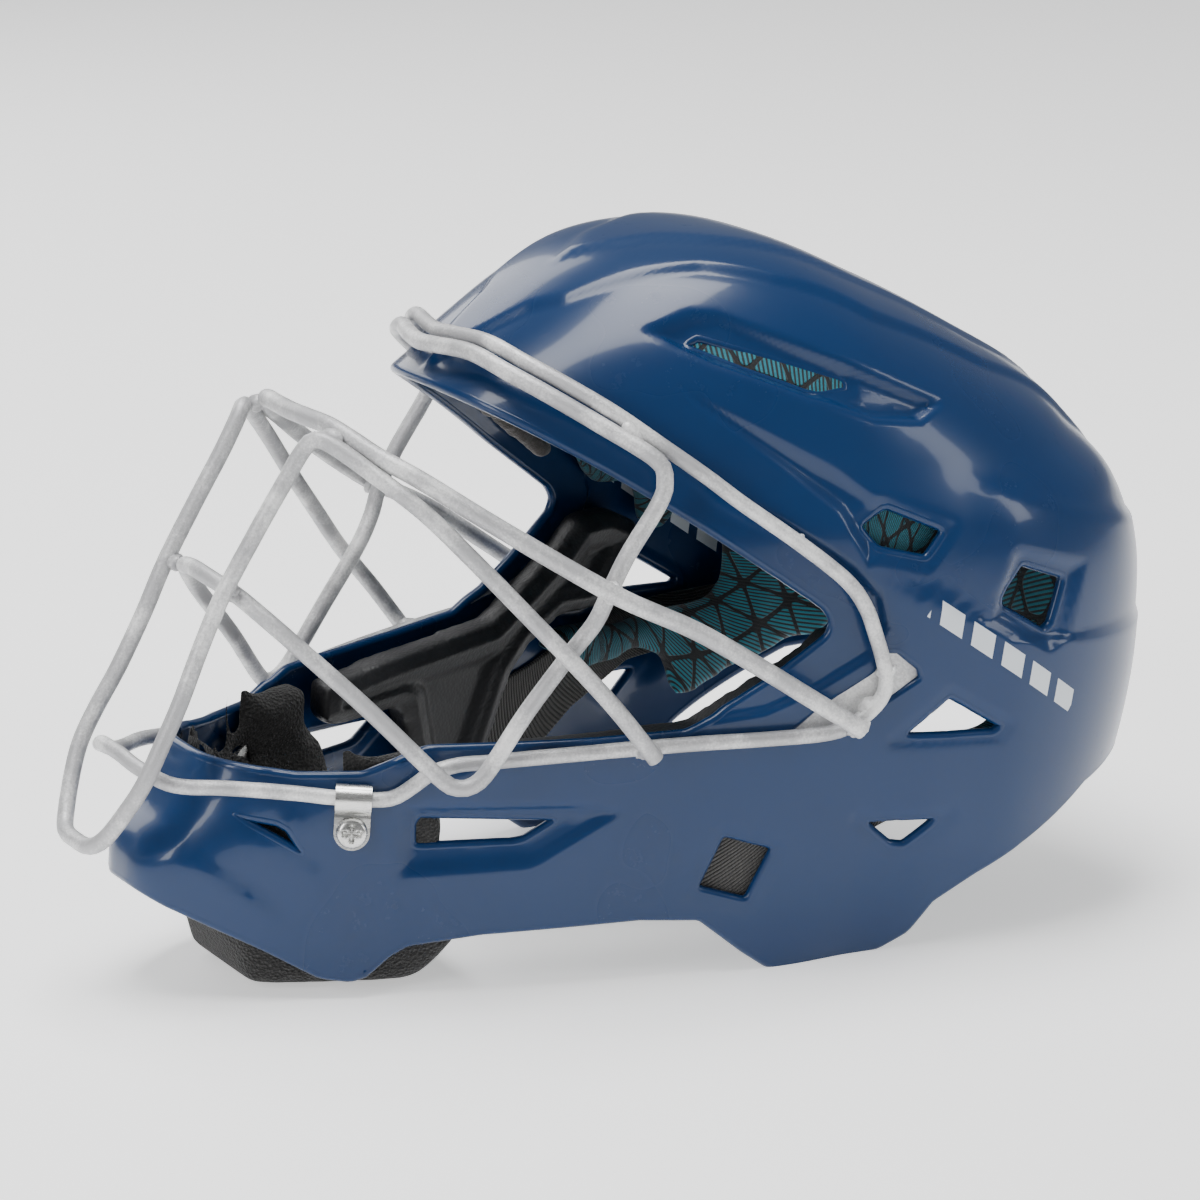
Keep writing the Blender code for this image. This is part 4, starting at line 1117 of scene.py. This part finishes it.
def looped_fabric():
    paint = Paint("black_looped_fabric", (0.008, 0.008, 0.008), 0.97, Sheen_Weight=0.12,
                  Sheen_Roughness=0.6)
    where = paint.here()
    loops = paint.cells(where, 1100.0)
    fuzz = paint.noise(where, 700.0, 4.0, 0.75)
    patch = paint.noise(where, 45.0, 3.0)
    paint.put("Base Color", paint.mix(fuzz.between(0.35, 0.75) * 0.7 + patch * 0.3,
                                      (0.003, 0.003, 0.003), (0.022, 0.021, 0.020)))
    paint.relief(fuzz + loops, 0.0009, 0.9)
    return paint


def webbing():
    paint = Paint("woven_black_webbing", (0.013, 0.012, 0.011), 0.75, Sheen_Weight=0.2)
    chart = paint.chart()
    u, v = chart.part(0) * 1000.0, chart.part(1) * 1000.0
    warp = ((u * 0.75 + v * 1.1) / 1.5).repeat()
    yarn = abs(warp - 0.5).between(0.12, 0.45)
    weft = abs(((v * 0.8 - u * 0.5) / 0.8).repeat() - 0.5).between(0.05, 0.5)
    paint.put("Base Color", paint.mix(yarn * 0.75 + weft * 0.25, (0.05, 0.047, 0.043),
                                      (0.003, 0.003, 0.003)))
    paint.put("Roughness", yarn * 0.25 + 0.6)
    paint.relief(1.0 - yarn * 0.8 - weft * 0.2, 0.0004, 0.9)
    return paint


LINER_PAINT = teal_liner()
BROW_PAINT = brushed_cover()
FOAM_PAINT = moulded_foam()
CHIN_PAINT = looped_fabric()
WEB_PAINT = webbing()
print("soft paints ready")

# %% [markdown]
# ## Padded pieces
# A pad is foam in a cover. Its engineering solid gives it its place, and cloth simulation
# with a little pressure gives it the swollen look of stuffed fabric. The pad is then held
# back wherever it would press through the shell, as the real shell does.

# %% Helpers for pads


AROUND, ACROSS = 0.115, 0.13          # metres of skin for one radian each way


def chart_by_skin(thing):
    """A map in metres along the skin: around the hub and across the mask."""
    mesh = thing.data
    points = np.empty(len(mesh.vertices) * 3)
    mesh.vertices.foreach_get("co", points)
    x, z, y = drawn(points.reshape(-1, 3))
    angle = (np.degrees(np.arctan2(z - HUB_Z, x - HUB_X)) + 90.0) % 360.0
    rho = np.hypot(x - HUB_X, z - HUB_Z) / outline_radius(angle - 90.0)
    zeta = y / (HALF_WIDTH * taper(x))
    flat = np.stack([np.radians(angle) * AROUND, np.arctan2(zeta, rho) * ACROSS], axis=-1)
    corner = np.empty(len(mesh.loops), int)
    mesh.loops.foreach_get("vertex_index", corner)
    layer = mesh.uv_layers.new(name="UVMap") if not mesh.uv_layers else mesh.uv_layers[0]
    layer.data.foreach_set("uv", flat[corner].ravel())


def below_skin(points):
    """Depth under the skin in millimetres."""
    points = np.asarray(points, float)
    lift_one = fullness(points + outward(points) * NORMAL_STEP) - fullness(points)
    return (1.0 - fullness(points)) / np.maximum(lift_one / NORMAL_STEP, 1e-3) / MM


def hold_under(points, depth):
    """Push points inwards until they are at least so far under the skin."""
    short = np.maximum(depth - below_skin(points), 0.0)
    return points - outward(points) * short[:, None] * MM


def node_copy(node):
    bm = bmesh.new()
    bm.from_mesh(frame["nodes"][node].data)
    bmesh.ops.remove_doubles(bm, verts=bm.verts[:], dist=0.000005)
    return bm


def remeshed(thing, voxel):
    modifier = thing.modifiers.new("voxels", "REMESH")
    modifier.mode = "VOXEL"
    modifier.voxel_size = voxel
    apply_modifiers(thing)


SWELL_FRAMES = 20
COVER_STIFFNESS = 20.0
COVER_PRESSURE = 4.0


def inflated(thing, cap):
    """Let the cover swell, and cap how far each point moves."""
    scene = bpy.context.scene
    start = np.array([vert.co[:] for vert in thing.data.vertices])
    cloth = thing.modifiers.new("cover", "CLOTH")
    cloth.settings.use_pressure = True
    cloth.settings.uniform_pressure_force = COVER_PRESSURE
    cloth.settings.effector_weights.gravity = 0.0
    cloth.settings.tension_stiffness = cloth.settings.compression_stiffness = COVER_STIFFNESS
    cloth.settings.mass = 0.2
    cloth.point_cache.frame_start = 1
    cloth.point_cache.frame_end = SWELL_FRAMES
    for number in range(1, SWELL_FRAMES + 1):
        scene.frame_set(number)
    mesh = evaluated_mesh(thing)
    moved = np.array([vert.co[:] for vert in mesh.vertices])
    thing.modifiers.clear()
    scene.frame_set(1)
    travel = moved - start
    length = np.linalg.norm(travel, axis=1, keepdims=True)
    capped = start + travel * np.minimum(1.0, cap / np.maximum(length, 1e-9))
    mesh.vertices.foreach_set("co", capped.ravel())
    thing.data = mesh


def reshape(thing, change):
    """Move the vertices of an object by a function of all their places."""
    points = np.array([vert.co[:] for vert in thing.data.vertices])
    thing.data.vertices.foreach_set("co", change(points).ravel())
    thing.data.update()


def subdivided(thing):
    modifier = thing.modifiers.new("rounding", "SUBSURF")
    modifier.levels = modifier.render_levels = 1
    apply_modifiers(thing)


def settled_smooth(thing, rounds):
    bm = bmesh.new()
    bm.from_mesh(thing.data)
    for _ in range(rounds):
        bmesh.ops.smooth_vert(bm, verts=bm.verts[:], factor=0.5, use_axis_x=True,
                              use_axis_y=True, use_axis_z=True)
    bm.to_mesh(thing.data)
    bm.free()


def pad(name, node, paint, voxel=0.004, cap=0.006, shrink=0.0012, rounds=2,
        body="mask_shell", hold=WALL + 0.2, swell=True, change=None):
    """A padded piece in the place of an engineering solid."""
    bm = node_copy(node)
    bm.normal_update()
    for vert in bm.verts:
        vert.co -= vert.normal * shrink
    thing = add_object(name, bm)
    remeshed(thing, voxel)
    settled_smooth(thing, rounds)
    if swell:
        inflated(thing, cap)
    subdivided(thing)
    if change:
        reshape(thing, change)
    reshape(thing, lambda points: hold_under(points, hold))
    chart_by_skin(thing)
    dress(thing, paint)
    thing.data.shade_smooth()
    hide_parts(node)
    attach(thing, body)
    print(name, len(thing.data.polygons), "faces")


# %% The pads
JAW_PAD = ((-76, 71), (-77, 59), (-70, 56.5), (-44, 56), (-38, 24), (-14, 23), (2, 56), (10, 64),
           (24, 71), (38, 70), (43, 71.5), (50, 79.5), (57, 88), (57, 96), (46, 101.5),
           (33, 101.5), (25, 94), (9, 84), (-6, 75))


BEAD_HEIGHT, CENTRE_DEPTH = 1.4, 2.2
COLLAR_RISE, COLLAR_SWELL = 3.2, 3.0


def jaw_emboss(points):
    """A raised bead around the jaw pad and a pressed centre."""
    x, z, y = drawn(points)
    edge = inside(x, z, JAW_PAD)
    inner_face = soft_step((below_skin(points) - 9.0) / 4.0)
    bead = BEAD_HEIGHT * np.exp(-((edge - 5.0) / 1.8) ** 2)
    centre = CENTRE_DEPTH * soft_step((edge - 8.0) / 5.0)
    return points - outward(points) * (inner_face * (bead - centre))[:, None] * MM


def chin_swell(points):
    """The stuffed collar of the chin pad stands a little above the shell's rim."""
    x, z, y = drawn(points)
    collar = soft_step((z - 52.0) / 18.0)
    thick = soft_step((below_skin(points) - 6.0) / 5.0)
    raised = points + np.stack([0.0 * z, 0.0 * z, COLLAR_RISE * collar], axis=-1) * MM
    return raised - outward(points) * (collar * thick * COLLAR_SWELL)[:, None] * MM


pad("crown_liner_pad", "crown_pad", LINER_PAINT, cap=0.005, hold=WALL + 3.1)
pad("brow_soft_pad", "brow_pad", BROW_PAINT, voxel=0.003, cap=0.003)
pad("chin_soft_pad", "chin_pad", CHIN_PAINT, voxel=0.003, cap=0.003,
    rounds=5, change=chin_swell)
pad("nape_soft_pad", "back_plate_pad", LINER_PAINT, cap=0.005, body="back_plate", hold=WALL + 3.1)
for side in ("left", "right"):
    pad("ear_soft_pad_" + side, "ear_pad_" + side, LINER_PAINT, cap=0.005, hold=WALL + 1.9)
    pad("jaw_foam_pad_" + side, "jaw_pad_" + side, FOAM_PAINT, voxel=0.002,
        rounds=4, hold=WALL + 1.9, swell=False, shrink=0.0, change=jaw_emboss)

# %% [markdown]
# ## Straps
# Flat webbing is a thin band, so it is cut from the skin like the shell, at its own depth,
# and is given the thickness of the strap. Simulation would only round away its edges.

# %% Straps
SIDE_STRAP = ((-9, 24), (-3, 47), (18, 52), (50, 64), (100, 66), (136, 70), (138, 54), (102, 50),
              (58, 47), (34, 36), (8, 18))
TOP_STRAP = ((120, 88), (120, 150), (124, 157), (129, 168), (150, 175), (190, 130), (190, 88))
STRAP_THICKNESS = 1.6


def strap(name, node, outline, y_low, y_high, depth):
    band = fresh_ball()
    boolean(band, [punch(outline, y_low, y_high)], "INTERSECT")
    sheet = keep_skin(band)
    thing = walled(name, sheet, STRAP_THICKNESS, WEB_PAINT, True, depth)
    chart_by_skin(thing)
    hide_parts(node)
    return thing


for side, label in ((-1, "left"), (1, "right")):
    near, far = sorted((side * 30.0, side * FAR))
    piece = strap("side_webbing_" + label, "side_strap_" + label, SIDE_STRAP, near, far,
                  WALL + 0.3)
    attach(piece, "mask_shell")
top = strap("top_webbing", "top_strap", TOP_STRAP, -11.0, 11.0, 1.1)
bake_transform(top)

# %% [markdown]
# ## Clips and their screws
# A clip is a steel strip bent over the wire. Its lower end is a round tongue, and a
# pan-head screw with a cross recess holds it. Both are laid out flat as rows or rings of
# points and then placed on the skin beside the wire.

# %% Clips and pan-head screws
CLIP_AT = (-104.0, 61.3)
CLIP_HALF = 5.2
CLIP_SHEET = 1.2
SCREW_DROP = 10.0


def clip_frame(side):
    """Where the clip stands: a place on the skin with its outward, along and up directions."""
    point = on_side(*CLIP_AT, 0.0, side)
    normal = (on_side(*CLIP_AT, 1.0, side) - point).normalized()
    ahead = on_side(CLIP_AT[0] - 4, CLIP_AT[1] + 0.3, 0.0, side)
    along = (ahead - on_side(CLIP_AT[0] + 4, CLIP_AT[1] - 0.3, 0.0, side)).normalized()
    along = (along - normal * along.dot(normal)).normalized()
    up = normal.cross(along)
    if up.z < 0:
        up = -up
    return point, normal, along, up


def lay(bm, side):
    """Lay a piece made with x along, y up and z outward onto the skin."""
    point, normal, along, up = clip_frame(side)
    turn = Matrix((along, up, normal)).transposed().to_4x4()
    bmesh.ops.transform(bm, matrix=Matrix.Translation(point) @ turn, verts=bm.verts[:])
    if turn.determinant() < 0:
        bmesh.ops.reverse_faces(bm, faces=bm.faces[:])


def clip_strip():
    """The bent strip: rows of points from the tongue's end over the wire and back."""
    middle = OUTER_WIRE / 2 + 0.8 + CLIP_SHEET / 2
    centre = OUTER_WIRE / 2 + STAND_OFF
    lift = STAND_OFF + CLIP_SHEET / 2
    end = -SCREW_DROP - CLIP_HALF
    rows = []
    for k in range(13):
        drop = CLIP_HALF * (1 - math.cos(math.pi * k / 24))
        rows.append((end + drop, lift, CLIP_HALF * math.sin(math.pi * k / 24) + 0.02))
    for k in range(1, 9):
        rows.append((-SCREW_DROP + (SCREW_DROP - middle - 1.0) * k / 8, lift, CLIP_HALF))
    for k in range(20):
        turn = math.radians(-80 + 190 * k / 19)
        rows.append((middle * math.sin(turn), centre + middle * math.cos(turn), CLIP_HALF))
    bm = bmesh.new()
    grid = []
    for v, w, half in rows:
        grid.append([bm.verts.new((half * (2 * j / 10 - 1) * MM, v * MM, w * MM))
                     for j in range(11)])
    for below, above in zip(grid, grid[1:]):
        for j in range(10):
            bm.faces.new((below[j], below[j + 1], above[j + 1], above[j]))
    return bm


SCREW_RADIUS, SCREW_HEIGHT = 4.6, 2.4
CROSS_ARM, CROSS_REACH, CROSS_DEPTH = 0.75, 2.9, 1.3


def pan_head(radius, height, seat):
    """A domed screw head with a cross recess, made as rings around its axis."""
    bm = bmesh.new()
    rings, sectors = 14, 48
    grid = []
    for i in range(rings + 1):
        share = i / rings
        ring = []
        for j in range(sectors):
            turn = 2 * math.pi * j / sectors
            r = radius * math.cos(share * math.pi / 2) ** 0.55
            w = height * math.sin(share * math.pi / 2) ** 0.8
            u, v = r * math.cos(turn), r * math.sin(turn)
            arm = min(abs(u), abs(v))
            long = max(abs(u), abs(v))
            cross = soft_step((CROSS_ARM - arm) / 0.35) * soft_step((CROSS_REACH - long) / 0.6)
            deep = seat + w - CROSS_DEPTH * cross
            ring.append(bm.verts.new((u * MM, (v - SCREW_DROP) * MM, deep * MM)))
        grid.append(ring)
    for below, above in zip(grid, grid[1:]):
        for j in range(sectors):
            k = (j + 1) % sectors
            bm.faces.new((below[j], below[k], above[k], above[j]))
    bmesh.ops.remove_doubles(bm, verts=bm.verts[:], dist=0.00001)
    return bm


for side, label in ((-1, "left"), (1, "right")):
    bm = clip_strip()
    lay(bm, side)
    clip = add_object("bent_wire_clip_" + label, bm, STEEL_PAINT)
    wall = clip.modifiers.new("sheet", "SOLIDIFY")
    wall.thickness = CLIP_SHEET * MM
    wall.offset = 0.0
    apply_modifiers(clip)
    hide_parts("wire_clip_" + label)
    bm = pan_head(SCREW_RADIUS, SCREW_HEIGHT, STAND_OFF + CLIP_SHEET)
    lay(bm, side)
    screw = add_object("pan_head_screw_" + label, bm, STEEL_PAINT)
    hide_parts("clip_screw_" + label)
    for thing in (clip, screw):
        smooth(thing, 30.0)
        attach(thing, "mask_shell")
print("clips and screws laid on the skin")

# %% [markdown]
# ## What is still the engineering model's
# The remaining small steel parts already have their true shape, so they only get better
# paint.

# %% Paint the small parts
for side in ("left", "right"):
    dress(frame["nodes"]["side_plate_" + side], CAGE_PAINT)
    for part in ("plate_screw_", "clip_tee_nut_"):
        dress(frame["nodes"][part + side], STEEL_PAINT)
